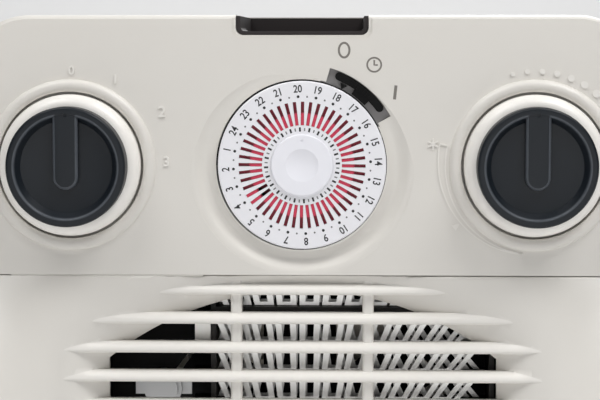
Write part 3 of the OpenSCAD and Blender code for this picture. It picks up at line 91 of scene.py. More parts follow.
def arc(turn, steps):
    """(sine, cosine) from 0 to a turn in equal steps, both ends counted."""
    turns = [turn * i / steps for i in range(steps + 1)]
    return [(math.sin(a), math.cos(a)) for a in turns]


def smooth_all(mesh):
    """Smooth shading on every face."""
    mesh.polygons.foreach_set("use_smooth", [True] * len(mesh.polygons))


def make_sweep(depth, height, width, bend):
    """Floor that curves up into a back wall."""
    mesh = bpy.data.meshes.new("studio_sweep")
    section = [(-depth, 0.0)]
    for sine, cosine in arc(math.pi / 2, SWEEP_STEPS):
        section.append((depth - bend + bend * sine, bend - bend * cosine))
    section.append((depth, height))
    verts = [(side * width, y, z) for y, z in section for side in (-1, 1)]
    faces = [(2 * i, 2 * i + 1, 2 * i + 3, 2 * i + 2) for i in range(len(section) - 1)]
    mesh.from_pydata(verts, [], faces)
    smooth_all(mesh)
    mesh.materials.append(bare_material("studio_paper", {"Base Color": PAPER, "Roughness": 0.9})[0])
    held("studio_sweep", mesh)


def turned_to(holder, place, target):
    """Stands a lamp or the camera at a place and turns it towards a target."""
    holder.location = place
    way = Vector(target) - Vector(place)
    holder.rotation_euler = way.to_track_quat("-Z", "Y").to_euler()


def soft_lamp(name, place, target, size, power):
    """A rectangular soft lamp at a place, turned towards a target."""
    light = bpy.data.lights.new(name, "AREA")
    light.shape = "RECTANGLE"
    light.size, light.size_y = size
    light.energy = power
    turned_to(held(name, light), place, target)


make_sweep(depth=4.0, height=3.6, width=5.0, bend=1.2)
soft_lamp("lamp_left", (-0.70, -0.68, 1.75), CONTROLS, (0.9, 0.7), 14)
soft_lamp("lamp_right", (0.80, -0.68, 1.75), CONTROLS, (0.9, 0.7), 22)
soft_lamp("lamp_front", (0.10, -1.55, 0.24), BODY_MIDDLE, (1.4, 0.42), 2.8)
soft_lamp("lamp_back", (0.35, 1.50, 1.45), BODY_MIDDLE, (0.9, 0.7), 13)
soft_lamp("lamp_wall", (0, 2.0, 3.0), SWEEP_WALL, (3.0, 0.6), 70)

world = bpy.data.worlds.new("studio_air")
world.use_nodes = True
set_inputs(world.node_tree.nodes["Background"], {"Color": WHITE, "Strength": AIR_GLOW})
bpy.context.scene.world = world
bpy.context.scene.view_settings.view_transform = "Standard"

camera_data = bpy.data.cameras.new("camera")
camera_data.lens = LENS
camera_data.sensor_width = SENSOR
at_dial = Vector((0, front_y, dial_centre.z))
camera = held("camera", camera_data)
bpy.context.scene.camera = camera
turned_to(camera, at_dial + Vector(CAMERA_PLACE), at_dial + Vector(CAMERA_AIM))

# --------------------------------------
# The back shell of the housing, and the moulded plastic of every other piece.
# Injection-moulded cream ABS with a fine spark-eroded grain, screwed together
# from behind. The tone drifts slightly, as thick and thin places cool apart.

DRIFT_SCALE = 14
ROUGHNESS_SPREAD = 0.12
COAT_ROUGHNESS = 0.12
GRAIN_STRENGTH = 0.6


def add_node(tree, kind, inputs=None, **settings):
    """A node with its settings and the values of its open inputs."""
    node = tree.nodes.new(kind)
    for key, value in settings.items():
        setattr(node, key, value)
    set_inputs(node, inputs or {})
    return node


def wire(*links):
    """Makes links, each given as (node, output, node, input)."""
    for source, output, target, entry in links:
        source.id_data.links.new(source.outputs[output], target.inputs[entry])


def group_with(name, inputs, outputs):
    """An empty shader node group with float, colour and vector sockets."""
    kinds = {"f": "NodeSocketFloat", "c": "NodeSocketColor", "v": "NodeSocketVector"}
    tree = bpy.data.node_groups.new(name, "ShaderNodeTree")
    for way, sockets in (("INPUT", inputs), ("OUTPUT", outputs)):
        for label, kind in sockets:
            tree.interface.new_socket(label, in_out=way, socket_type=kinds[kind])
    return tree, tree.nodes.new("NodeGroupInput"), tree.nodes.new("NodeGroupOutput")


def make_grain_group():
    """Spark-eroded grain: fine noise with a few shallow pits, as a height."""
    tree, given, result = group_with(
        "moulded_grain", [("Vector", "v"), ("Scale", "f")], [("Height", "f")]
    )
    fine = add_node(tree, "ShaderNodeTexNoise", {"Detail": 3, "Roughness": 0.6})
    pits = add_node(tree, "ShaderNodeTexVoronoi", {"Smoothness": 0.8}, feature="SMOOTH_F1")
    mix = add_node(tree, "ShaderNodeMath", {1: 0.5}, operation="MULTIPLY_ADD")
    for texture in (fine, pits):
        wire((given, "Vector", texture, "Vector"), (given, "Scale", texture, "Scale"))
    wire(
        (pits, "Distance", mix, 0),
        (fine, "Fac", mix, 2),
        (mix, 0, result, "Height"),
    )
    return tree


def make_drift_group():
    """Slow drift of tone and gloss over a moulding, with faint handling marks."""
    tree, given, result = group_with(
        "tone_drift",
        [("Vector", "v"), ("Color", "c"), ("Deep Color", "c"), ("Amount", "f"),
         ("Scale", "f"), ("Roughness", "f"), ("Roughness Spread", "f")],
        [("Color", "c"), ("Roughness", "f")],
    )
    slow = add_node(tree, "ShaderNodeTexNoise", {"Detail": 2})
    smear = add_node(tree, "ShaderNodeTexNoise", {"Detail": 4, "Distortion": 1.2})
    share = add_node(tree, "ShaderNodeMath", operation="MULTIPLY")
    tone = add_node(tree, "ShaderNodeMix", data_type="RGBA")
    centred = add_node(tree, "ShaderNodeMath", {1: 0.5}, operation="SUBTRACT")
    spread = add_node(tree, "ShaderNodeMath", operation="MULTIPLY_ADD")
    for texture in (slow, smear):
        wire((given, "Vector", texture, "Vector"), (given, "Scale", texture, "Scale"))
    wire(
        (slow, "Fac", share, 0),
        (given, "Amount", share, 1),
        (share, 0, tone, "Factor"),
        (given, "Color", tone, "A"),
        (given, "Deep Color", tone, "B"),
        (smear, "Fac", centred, 0),
        (centred, 0, spread, 0),
        (given, "Roughness Spread", spread, 1),
        (given, "Roughness", spread, 2),
        (tone, "Result", result, "Color"),
        (spread, 0, result, "Roughness"),
    )
    return tree


grain_group = make_grain_group()
drift_group = make_drift_group()


def moulded(name, colour, deep, roughness, grain_scale=2600, grain_depth=0.02,
            amount=0.5, specular=0.5, coat=0.0, metallic=0.0):
    """Moulded plastic, rubber or cast metal: drifting tone over a fine grain."""
    material, shader = bare_material(name, {
        "Metallic": metallic, "Specular IOR Level": specular,
        "Coat Weight": coat, "Coat Roughness": COAT_ROUGHNESS,
    })
    tree = material.node_tree
    place = add_node(tree, "ShaderNodeTexCoord")
    drift = add_node(tree, "ShaderNodeGroup", {
        "Color": (*colour, 1), "Deep Color": (*deep, 1), "Amount": amount,
        "Scale": DRIFT_SCALE, "Roughness": roughness, "Roughness Spread": ROUGHNESS_SPREAD,
    }, node_tree=drift_group)
    grain = add_node(tree, "ShaderNodeGroup", {"Scale": grain_scale}, node_tree=grain_group)
    bump = add_node(tree, "ShaderNodeBump",
                    {"Strength": GRAIN_STRENGTH, "Distance": grain_depth * MM})
    wire(
        (place, "Object", drift, "Vector"),
        (place, "Object", grain, "Vector"),
        (drift, "Color", shader, "Base Color"),
        (drift, "Roughness", shader, "Roughness"),
        (grain, "Height", bump, "Height"),
        (bump, "Normal", shader, "Normal"),
    )
    return material


def dress(material, *names):
    """Gives CAD nodes a material in place of their plain one."""
    for name in names:
        mesh = nodes[name].data
        mesh.materials.clear()
        mesh.materials.append(material)


cream = moulded("cream_housing", (0.74, 0.715, 0.67), (0.70, 0.67, 0.62), 0.40)
dress(cream, "rear_housing")

# --------------------------------------
# The lower front moulding with the warm-air outlet.
# One cream ABS moulding: flat face, wide rolled-in edge, rounded slats that run
# out into that edge as points, and two upright bars behind them.

OUTLET_HALF_WIDTH = 79.05 * MM
OUTLET_Z = 112.5 * MM
ARCH_RADIUS = 125.85 * MM
ARCH_TOP = 75.9 * MM
ARCH_STEPS = 24
CORNER_STEPS = 8
SIDE_STEPS = 16
FLARE_DEPTH = 7.15 * MM
FLARE_STEPS = 14
# Width of the rolled-in edge against the angle from straight up, in degrees.
FLARE_WIDTHS = [(0, 15.6 * MM), (16, 18.5 * MM), (29, 24.0 * MM), (39, 20.5 * MM), (90, 19.5 * MM)]
PLUG_BEFORE = 5 * MM
PLUG_BEHIND = 20 * MM
BEHIND_FACE = 0.04 * MM
SLAT_TOP = 189.55 * MM
SLAT_PITCH = 11.9 * MM
SLAT_COUNT = 14
SLAT_HALF_HEIGHT = 2.35 * MM
SLAT_BACK_HALF = 1.7 * MM
SLAT_NOSE = 3.2 * MM
SLAT_NOSE_STEPS = 20
SLAT_DEPTH = 9.95 * MM
# Height and depth of the nose above and below its foremost line, as shares.
SLAT_UPPER, SLAT_LOWER = (1.45, 1.5), (0.55, 0.8)
SLAT_TIP_SINK = 1.5 * MM
# Where the outer slats sink into the rolled-in edge: share of their reach, and by how much.
SLAT_TIPS = {0: (0.74, 1.5 * MM), 1: (0.94, 0.35 * MM)}
SLAT_TAPER = 34 * MM
# Bend of the taper: share of its length, and share of the sinking that is left there.
SLAT_TAPER_BEND = (0.4, 0.35)
BAR_X = 26.7 * MM
BAR_WIDTH = 4.6 * MM
BAR_DEPTH = 6.4 * MM
BAR_BACK = 2.6 * MM
BAR_EDGE = 1.3 * MM
BAR_OVERRUN = 7.5 * MM
BEAD_STATIONS = (-118 * MM, -90 * MM, -65 * MM, -40 * MM)
BEAD_DEPTH = 1.5 * MM
BEAD_CLEARANCE = 0.03 * MM
BEAD_STEPS = 8
EDGE_STEPS = 6
MERGE = 0.0005 * MM
PLUG_MERGE = 0.002 * MM
SMOOTH_ANGLE = math.radians(32)


def eased(share):
    """Smooth step from 0 to 1."""
    return share * share * (3 - 2 * share)


def between(table, value):
    """Smooth value from a short table of (place, value) pairs."""
    for (x0, y0), (x1, y1) in zip(table, table[1:]):
        if value <= x1:
            return y0 + (y1 - y0) * eased(max(0.0, (value - x0) / (x1 - x0)))
    return table[-1][1]


def add_solid(work, rings, closed=False):
    """Adds a solid over rings of points: its ends are filled, or the last meets the first."""
    rings = [[work.verts.new(point) for point in ring] for ring in rings]
    for near, far in zip(rings, rings[1:] + rings[:closed]):
        for i in range(len(near)):
            j = (i + 1) % len(near)
            work.faces.new((near[i], near[j], far[j], far[i]))
    if not closed:
        work.faces.new(rings[0])
        work.faces.new(rings[-1])


def as_mesh(work, name):
    """Ends a working mesh and returns it as mesh data."""
    mesh = bpy.data.meshes.new(name)
    work.to_mesh(mesh)
    work.free()
    return mesh


def closed_mesh(work, name):
    """Ends a working mesh of closed solids, with all faces turned outwards."""
    bmesh.ops.recalc_face_normals(work, faces=work.faces)
    return as_mesh(work, name)


def solid_mesh(name, rings, closed=False):
    """One solid over rings of points as mesh data."""
    work = bmesh.new()
    add_solid(work, rings, closed)
    return closed_mesh(work, name)


def evaluated_mesh(holder):
    """The mesh of an object with its modifiers applied."""
    graph = bpy.context.evaluated_depsgraph_get()
    return bpy.data.meshes.new_from_object(holder.evaluated_get(graph))


def discard(holder):
    """Removes a helper object and its mesh."""
    mesh = holder.data
    bpy.data.objects.remove(holder)
    bpy.data.meshes.remove(mesh)


def outlet_outline():
    """The opening as (x, z, normal angle), clockwise from the top, about the outlet centre."""
    corner = math.asin(OUTLET_HALF_WIDTH / ARCH_RADIUS)
    sink = ARCH_TOP - ARCH_RADIUS
    corner_z = sink + ARCH_RADIUS * math.cos(corner)
    arch = [corner * i / ARCH_STEPS for i in range(ARCH_STEPS + 1)]
    quarter = [
        (ARCH_RADIUS * math.sin(turn), sink + ARCH_RADIUS * math.cos(turn), turn) for turn in arch
    ]
    quarter += [
        (OUTLET_HALF_WIDTH, corner_z, corner + (math.pi / 2 - corner) * i / CORNER_STEPS)
        for i in range(1, CORNER_STEPS + 1)
    ]
    quarter += [
        (OUTLET_HALF_WIDTH, corner_z * (1 - i / SIDE_STEPS), math.pi / 2)
        for i in range(1, SIDE_STEPS)
    ]
    lower = [(x, -z, math.pi - turn) for x, z, turn in reversed(quarter)]
    right = quarter + [(OUTLET_HALF_WIDTH, 0, math.pi / 2)] + lower
    left = [(-x, z, -turn) for x, z, turn in reversed(right[1:-1])]
    return right + left


def flare_width(turn):
    """Width of the rolled-in edge in the direction of a normal."""
    from_upright = math.degrees(math.atan2(abs(math.sin(turn)), abs(math.cos(turn))))
    return between(FLARE_WIDTHS, from_upright)


def outlet_plug():
    """A closed plug with the shape of the outlet's space: rolled-in edge, then straight walls."""
    outline = outlet_outline()
    flare = [i / FLARE_STEPS for i in range(FLARE_STEPS + 1)]
    profile = [(1.0, front_y - PLUG_BEFORE)]
    profile += [(1 - step, front_y + FLARE_DEPTH * step ** 2) for step in flare]
    profile += [(0.0, front_y + PLUG_BEHIND)]
    rings = []
    for share, y in profile:
        ring = []
        for x, z, turn in outline:
            out = share * flare_width(turn)
            ring.append((x + out * math.sin(turn), y, OUTLET_Z + z + out * math.cos(turn)))
        rings.append(ring)
    plug = bmesh.new()
    add_solid(plug, rings)
    bmesh.ops.remove_doubles(plug, verts=plug.verts, dist=PLUG_MERGE)
    return closed_mesh(plug, "outlet_plug")


def slat_reach(z):
    """How far a slat at a height over the outlet centre runs before it is inside the flat face."""
    reach = 0.0
    for x, edge_z, turn in outlet_outline():
        out = flare_width(turn) + SLAT_TIP_SINK
        if x >= 0 and abs(edge_z) + out * abs(math.cos(turn)) >= abs(z) - SLAT_TIP_SINK:
            reach = max(reach, x + out * abs(math.sin(turn)))
    return reach


def add_slat(work, index):
    """One slat: rounded nose, flat back, and ends that sink into the rolled-in edge."""
    z = SLAT_TOP - index * SLAT_PITCH
    nose = front_y + BEHIND_FACE
    lip = z - (SLAT_UPPER[0] - 1) * SLAT_HALF_HEIGHT
    section = [(nose + SLAT_DEPTH, z + SLAT_BACK_HALF)]
    for i, (sine, cosine) in enumerate(arc(math.pi, SLAT_NOSE_STEPS)):
        tall, deep = SLAT_UPPER if 2 * i <= SLAT_NOSE_STEPS else SLAT_LOWER
        y = nose + deep * SLAT_NOSE * (1 - sine)
        section.append((y, lip + tall * SLAT_HALF_HEIGHT * cosine))
    section.append((nose + SLAT_DEPTH, z - SLAT_BACK_HALF))
    reach = slat_reach(z - OUTLET_Z)
    share, dip = SLAT_TIPS.get(min(index, SLAT_COUNT - 1 - index), (1.0, 0.0))
    sunk = reach * share
    run, left = SLAT_TAPER_BEND
    stations = [(-reach, dip), (-sunk, dip), (-sunk + run * SLAT_TAPER, left * dip),
                (-sunk + SLAT_TAPER, 0.0)]
    stations += [(-x, back) for x, back in reversed(stations)]
    add_solid(work, [[(x, y + back, zz) for y, zz in section] for x, back in stations])


def add_bar(work, side):
    """One upright bar behind the slats' noses, with rounded front edges."""
    x, y, half = side * BAR_X, front_y + BAR_BACK, BAR_WIDTH / 2
    edge = [(y + BAR_EDGE * (1 - sine), half - BAR_EDGE * (1 - cosine))
            for sine, cosine in arc(math.pi / 2, EDGE_STEPS)]
    section = [(y + BAR_DEPTH, x - half)] + [(edge_y, x - out) for edge_y, out in edge]
    section += [(edge_y, x + out) for edge_y, out in reversed(edge)] + [(y + BAR_DEPTH, x + half)]
    tall = ARCH_TOP - ARCH_RADIUS + math.sqrt(ARCH_RADIUS ** 2 - x ** 2) + BAR_OVERRUN
    add_solid(work, [[(px, py, OUTLET_Z + up) for py, px in section] for up in (-tall, tall)])


def slats_and_bars():
    """All slats and the two bars behind them, in a paler cream that is painted light on the slats.
    """
    work = bmesh.new()
    for index in range(SLAT_COUNT):
        add_slat(work, index)
    for side in (-1, 1):
        add_bar(work, side)
    mesh = closed_mesh(work, "slats_and_bars")
    mesh.materials.append(slat_cream_painted_light)
    return mesh


def carved(name, mesh, material, cut=None, added=None):
    """Exact booleans on a merged copy, smooth up to an angle; each solid keeps its material."""
    work = bmesh.new()
    work.from_mesh(mesh)
    bmesh.ops.remove_doubles(work, verts=work.verts, dist=MERGE)
    start = as_mesh(work, name)
    start.materials.append(material)
    base = held(name + "_base", start)
    tools = []
    for kind, tool_mesh in (("DIFFERENCE", cut), ("UNION", added)):
        if tool_mesh is not None:
            tool = held(name + "_tool", tool_mesh)
            step = base.modifiers.new(kind.lower(), "BOOLEAN")
            step.operation = kind
            step.solver = "EXACT"
            step.material_mode = "TRANSFER"
            step.use_self = kind == "UNION"
            step.object = tool
            tools.append(tool)
    result = evaluated_mesh(base)
    for holder in [base] + tools:
        discard(holder)
    result.name = name
    smooth_all(result)
    result.set_sharp_from_angle(angle=SMOOTH_ANGLE)
    return result


def new_piece(name, mesh, material, body, slot_name, *replaced):
    """A finished mesh as a piece that rides on a body; it may bring its own materials."""
    if material:
        mesh.materials.clear()
        mesh.materials.append(material)
    piece = held(name, mesh)
    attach(piece, body)
    if replaced:
        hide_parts(*replaced)


def seam_bead():
    """Rounded bead in the left part of the joint between the two front mouldings."""
    low = grille_hi.z + BEAD_CLEARANCE
    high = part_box("control_panel")[0].z - BEAD_CLEARANCE
    middle, half = (low + high) / 2, (high - low) / 2
    face, back = front_y + BEHIND_FACE, front_y + BEAD_DEPTH
    section = [(back, high)]
    for sine, cosine in arc(math.pi, BEAD_STEPS):
        section.append((face + half * (1 - sine), middle + half * cosine))
    section.append((back, low))
    return solid_mesh("seam_bead", [[(x, y, z) for y, z in section] for x in BEAD_STATIONS])


# Paler cream than the rest of the moulding: painted light for the slats' bright noses.
slat_cream_painted_light = moulded("cream_slats_painted_light", (0.81, 0.785, 0.74), (0.77, 0.745, 0.70), 0.36)
new_piece(
    "lower_front",
    carved("lower_front", nodes["front_grille"].data, cream, outlet_plug(), slats_and_bars()),
    None, "housing", "cream_shell", "front_grille",
)
new_piece("seam_bead", seam_bead(), cream, "housing", "cream_shell")

# --------------------------------------
# The upper front moulding round the controls.
# One crowned cream ABS moulding with a soft hollow pressed in round the dial;
# the hollow's floor falls away from the dial before its wall rises again.

HOLLOW_INNER = 34.7 * MM
HOLLOW_FOOT = 38.2 * MM
HOLLOW_EDGE = 43.0 * MM
HOLLOW_FALL = 0.75 * MM
# The fall fades out above the dial: height share where it is gone, and over how much it fades.
HOLLOW_GONE, HOLLOW_FADE = 0.45, 0.6
FRONT_SKIN_BACK = front_y + 1.7 * MM
FACING_FRONT = 0.3


def from_dial(spot):
    """A place on the front as seen from the dial's centre, without its depth."""
    return Vector((spot.x - dial_centre.x, 0, spot.z - dial_centre.z))


def hollow_fall(flat):
    """How much deeper the hollow gets at a place from the dial's centre, and its slope outwards."""
    reach = flat.length
    if not HOLLOW_INNER < reach < HOLLOW_EDGE:
        return 0.0, 0.0
    fall = HOLLOW_FALL * eased(min(1.0, max(0.0, (HOLLOW_GONE - flat.z / reach) / HOLLOW_FADE)))
    if reach < HOLLOW_FOOT:
        run = HOLLOW_FOOT - HOLLOW_INNER
        return fall * (reach - HOLLOW_INNER) / run, fall / run
    run = HOLLOW_EDGE - HOLLOW_FOOT
    left = (HOLLOW_EDGE - reach) / run
    return fall * eased(left), -fall * 6 * left * (1 - left) / run


def sunk_hollow(source):
    """Merged copy of the moulding with a deeper hollow; its own normals are kept and tilted."""
    work = bmesh.new()
    work.from_mesh(source)
    layer = work.loops.layers.float_vector.new("cad_normal")
    for face, polygon in zip(work.faces, source.polygons):
        for offset, loop in enumerate(face.loops):
            loop[layer] = source.corner_normals[polygon.loop_start + offset].vector
    bmesh.ops.remove_doubles(work, verts=work.verts, dist=MERGE)
    normals = []
    for face in work.faces:
        for loop in face.loops:
            normal = Vector(loop[layer])
            flat = from_dial(loop.vert.co)
            slope = hollow_fall(flat)[1]
            if slope and normal.y < -FACING_FRONT and loop.vert.co.y < FRONT_SKIN_BACK:
                normal = normal / -normal.y + flat.normalized() * slope
            normals.append(normal.normalized())
    for vertex in work.verts:
        if vertex.co.y < FRONT_SKIN_BACK:
            vertex.co.y += hollow_fall(from_dial(vertex.co))[0]
    mesh = as_mesh(work, "upper_front")
    mesh.attributes.remove(mesh.attributes["cad_normal"])
    smooth_all(mesh)
    mesh.normals_split_custom_set(normals)
    return mesh


new_piece("upper_front", sunk_hollow(nodes["control_panel"].data), cream,
          "housing", "cream_shell", "control_panel")

# --------------------------------------
# The carry pocket in the top.
# One black moulded cup pushed into the notch of the panel and the top wall.

pocket_black = moulded("pocket_black", (0.020, 0.014, 0.014), (0.012, 0.010, 0.010), 0.55)
dress(pocket_black, "handle_cup")

# --------------------------------------
# The two rotary knobs.
# A cream skirt and a charcoal cap with a finger tongue, pressed on a flatted
# spindle; the caps are finer grained than the housing.

TURNED_SIDES = 144
CAP_RIM = 1.2 * MM
CAP_RIM_FLAT = 0.95 * MM
CAP_RIM_EDGE = 0.55 * MM
CAP_RIM_TURN = math.radians(58)
CAP_RIM_STEPS = 4
CAP_DISH_RADIUS = 20.4 * MM
CAP_DISH_DEPTH = 3.6 * MM
CAP_DISH_LEAN = 0.6 * CAP_DISH_DEPTH
# Where the hollow's wall starts under its rounded edge: share of its depth, and a drop.
CAP_WALL_TOP, CAP_WALL_DROP = 0.2, 0.3 * MM
# Rounding between the hollow's wall and its floor: outwards from the foot, and over the floor.
CAP_FOOT = [(0.35 * MM, 0.5 * MM), (0.05 * MM, 0.12 * MM), (-0.4 * MM, 0.0)]
TONGUE_HALF = 5.0 * MM
TONGUE_EDGE = 1.5 * MM
TONGUE_END = -4.0 * MM
TONGUE_END_STEPS = 24
TONGUE_TOP = 21.4 * MM
TONGUE_ROOT = 0.6 * MM
TONGUE_BELOW_RIM = 0.2 * MM
TONGUE_EDGE_STEPS = 8
PIP_RADIUS = 0.9 * MM
PIP_SIDES = 20
PIP_START = 1 * MM
PIP_DEPTH = 0.4 * MM
PIP_POINT = 0.6 * MM
PIP_OUT = 0.2 * MM
# Painted edge highlights: inwards from the tongue's edge and down its sides, and either side of the
# rim.
HIGHLIGHT_TONGUE_FROM, HIGHLIGHT_TONGUE_TO, HIGHLIGHT_TONGUE_DOWN = 0.02 * MM, 1.0 * MM, 1.6 * MM
HIGHLIGHT_TONGUE_REACH = 0.6 * MM
HIGHLIGHT_RIM = 0.4 * MM
HIGHLIGHT_RIM_CLEAR = 0.3 * MM


def make_edge_group():
    """Painted highlights on edges: a paler colour by a mask on the mesh, broken up with a little
    noise.
    """
    tree, given, result = group_with(
        "rubbed_edges",
        [("Vector", "v"), ("Color", "c"), ("Highlight Color", "c"), ("Mask", "f"), ("Amount", "f")],
        [("Color", "c")],
    )
    noise = add_node(tree, "ShaderNodeTexNoise", {"Scale": 240, "Detail": 3})
    patchy = add_node(tree, "ShaderNodeMath", {1: 0.7, 2: 0.65}, operation="MULTIPLY_ADD")
    highlit = add_node(tree, "ShaderNodeMath", operation="MULTIPLY")
    share = add_node(tree, "ShaderNodeMath", operation="MULTIPLY", use_clamp=True)
    mix = add_node(tree, "ShaderNodeMix", data_type="RGBA")
    wire(
        (given, "Vector", noise, "Vector"),
        (noise, "Fac", patchy, 0),
        (patchy, 0, highlit, 0),
        (given, "Mask", highlit, 1),
        (highlit, 0, share, 0),
        (given, "Amount", share, 1),
        (share, 0, mix, "Factor"),
        (given, "Color", mix, "A"),
        (given, "Highlight Color", mix, "B"),
        (mix, "Result", result, "Color"),
    )
    return tree


edge_highlight_group = make_edge_group()


def node_of(tree, kind):
    """The first node of a type in a tree."""
    return next(node for node in tree.nodes if node.type == kind)


def rubbed(material, colour, amount):
    """Paints paler highlights along edges over a material's own colour, by the mesh attribute
    'edge'.
    """
    tree = material.node_tree
    shader = tree.nodes["Principled BSDF"]
    own = shader.inputs["Base Color"].links[0].from_node
    mask = add_node(tree, "ShaderNodeAttribute", attribute_name="edge", attribute_type="GEOMETRY")
    edges = add_node(tree, "ShaderNodeGroup", {"Highlight Color": (*colour, 1), "Amount": amount},
                     node_tree=edge_highlight_group)
    wire(
        (node_of(tree, "TEX_COORD"), "Object", edges, "Vector"),
        (own, "Color", edges, "Color"),
        (mask, "Fac", edges, "Mask"),
        (edges, "Color", shader, "Base Color"),
    )
    return material


def turned(profile, x, z, sides=TURNED_SIDES):
    """Closed turned solid about a line through (x, z) along Y; (radius, y) from axis to axis."""
    work = bmesh.new()
    circle = arc(2 * math.pi, sides)[:-1]
    rings = []
    for radius, y in profile:
        around = circle if radius else circle[:1]
        places = [(x + radius * cosine, y, z + radius * sine) for sine, cosine in around]
        rings.append([work.verts.new(place) for place in places])
    for near, far in zip(rings, rings[1:]):
        for i in range(sides):
            j = (i + 1) % sides
            if len(near) == 1:
                work.faces.new((near[0], far[i], far[j]))
            elif len(far) == 1:
                work.faces.new((near[i], far[0], near[j]))
            else:
                work.faces.new((near[i], far[i], far[j], near[j]))
    return closed_mesh(work, "turned")


def cap_blank(lo, hi):
    """Round body of a cap: back face, wall, rounded rim and sloping-walled hollow."""
    radius, front = (hi.x - lo.x) / 2, lo.y
    profile = [(0, hi.y), (radius, hi.y), (radius, front + CAP_RIM)]
    for sine, cosine in arc(math.pi / 2, EDGE_STEPS)[1:]:
        profile.append((radius - CAP_RIM * (1 - cosine), front + CAP_RIM * (1 - sine)))
    profile.append((CAP_DISH_RADIUS + CAP_RIM_FLAT, front))
    for sine, cosine in arc(CAP_RIM_TURN, CAP_RIM_STEPS):
        profile.append((CAP_DISH_RADIUS + CAP_RIM_EDGE * (1 - sine),
                        front + CAP_RIM_EDGE * (1 - cosine)))
    profile.append((CAP_DISH_RADIUS - CAP_WALL_TOP * CAP_DISH_LEAN,
                    front + CAP_WALL_TOP * CAP_DISH_DEPTH + CAP_WALL_DROP))
    foot, floor = CAP_DISH_RADIUS - CAP_DISH_LEAN, front + CAP_DISH_DEPTH
    profile += [(foot + out, floor - over) for out, over in CAP_FOOT] + [(0, floor)]
    return turned(profile, (lo.x + hi.x) / 2, (lo.z + hi.z) / 2)


def tongue_blank(lo, hi):
    """Finger tongue: a long flat bar with a round lower end and a rounded top edge."""
    x, z = (lo.x + hi.x) / 2, (lo.z + hi.z) / 2
    top = lo.y + TONGUE_BELOW_RIM
    layers = [(0.0, lo.y + CAP_DISH_DEPTH + TONGUE_ROOT)]
    for sine, cosine in arc(math.pi / 2, TONGUE_EDGE_STEPS):
        layers.append((TONGUE_EDGE * (1 - cosine), top + TONGUE_EDGE * (1 - sine)))
    rings = []
    for inset, y in layers:
        half = TONGUE_HALF - inset
        outline = [(half, TONGUE_TOP), (-half, TONGUE_TOP)]
        for sine, cosine in arc(math.pi, TONGUE_END_STEPS):
            outline.append((-half * cosine, TONGUE_END - half * sine))
        rings.append([(x + px, y, z + pz) for px, pz in outline])
    return solid_mesh("tongue", rings)


def knob_cap(name, body):
    """One cap: turned body, tongue and index pip, with a mask for the highlights painted on its
    edges.
    """
    lo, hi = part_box(name)
    x, z, front = (lo.x + hi.x) / 2, (lo.z + hi.z) / 2, lo.y
    solid = carved(name + "_solid", cap_blank(lo, hi), charcoal, added=tongue_blank(lo, hi))
    pip = [(0, -PIP_START), (PIP_RADIUS, -PIP_START), (PIP_RADIUS, PIP_DEPTH), (0, PIP_POINT)]
    pip = turned([(r, front + y) for r, y in pip], x, z + CAP_DISH_RADIUS + PIP_OUT, PIP_SIDES)
    mesh = carved(name + "_piece", solid, charcoal, cut=pip)
    # Mask 'edge': 1 where a highlight is painted on the tongue's and the rim's edges.
    edge = mesh.attributes.new("edge", "FLOAT", "POINT")
    for vertex in mesh.vertices:
        px, pz, depth = vertex.co.x - x, vertex.co.z - z, vertex.co.y - front
        reach = math.hypot(px, pz)
        inset = TONGUE_HALF - math.hypot(px, min(0.0, pz - TONGUE_END))
        on_tongue = (HIGHLIGHT_TONGUE_FROM < inset < HIGHLIGHT_TONGUE_TO and depth < HIGHLIGHT_TONGUE_DOWN
                     and reach < CAP_DISH_RADIUS + HIGHLIGHT_TONGUE_REACH)
        on_rim = (abs(reach - CAP_DISH_RADIUS - PIP_OUT) < HIGHLIGHT_RIM and depth < HIGHLIGHT_RIM
                  and inset < -HIGHLIGHT_RIM_CLEAR)
        edge.data[vertex.index].value = 1.0 if on_tongue or on_rim else 0.0
    new_piece(body + "_knob_cap", mesh, charcoal, body, "charcoal", name)


# Paler cream than the housing: painted light for the brightness the skirts catch.
skirt_cream_painted_light = moulded("skirt_cream_painted_light", (0.90, 0.875, 0.83), (0.86, 0.83, 0.785), 0.34)
dress(skirt_cream_painted_light, "selector_skirt", "thermostat_skirt")
# The paler blue-grey along the caps' rounded edges is a painted highlight.
charcoal = rubbed(
    moulded("charcoal_cap", (0.006, 0.009, 0.013), (0.009, 0.012, 0.017), 0.42,
            grain_scale=3200, grain_depth=0.03, specular=0.35),
    (0.085, 0.095, 0.11), 0.8,
)
knob_cap("selector_cap", "selector")
knob_cap("thermostat_cap", "thermostat")

# --------------------------------------
# The timer dial: white ring and centre cap, red tappets, printed scales.
# The ring is moulded in white ABS and pad-printed; the 48 tappets are red
# nylon, slide in its slots and show their long feet at the bottom of them. The
# feet and the wheel behind get a darker red, which is painted shade.

DIAL_SET = math.radians(-3.2)
DIAL_THICKNESS = 2.4 * MM
HOUR_STEP = math.radians(15)
HOUR_AT_TOP = 20
HOURS = 24
SLOT_COUNT = 48
SLOT_STEP = 2 * math.pi / SLOT_COUNT
SINGLE_TAPPETS = "abcdef"
SINGLE_FIRST = 29
PUSHED_OUT = "cd"
TAPPET_TRAVEL = 4.5 * MM
FOOT_RADIUS = 23.6 * MM
FOOT_LENGTH = 4.6 * MM
FOOT_WIDTH = 1.7 * MM
FOOT_THICKNESS = 0.5 * MM
FOOT_GAP = 0.20 * MM
PRINT = 0.04 * MM
FIGURE_SIZE = 4.2 * MM
FIGURE_BOLD = 0.075 * MM
FIGURE_RADIUS = 30.5 * MM
FIGURE_NARROWED = 0.84
DOT_RADIUS = 27.5 * MM
TICK_RADIUS = 14.4 * MM
DOT_SIDES = 12


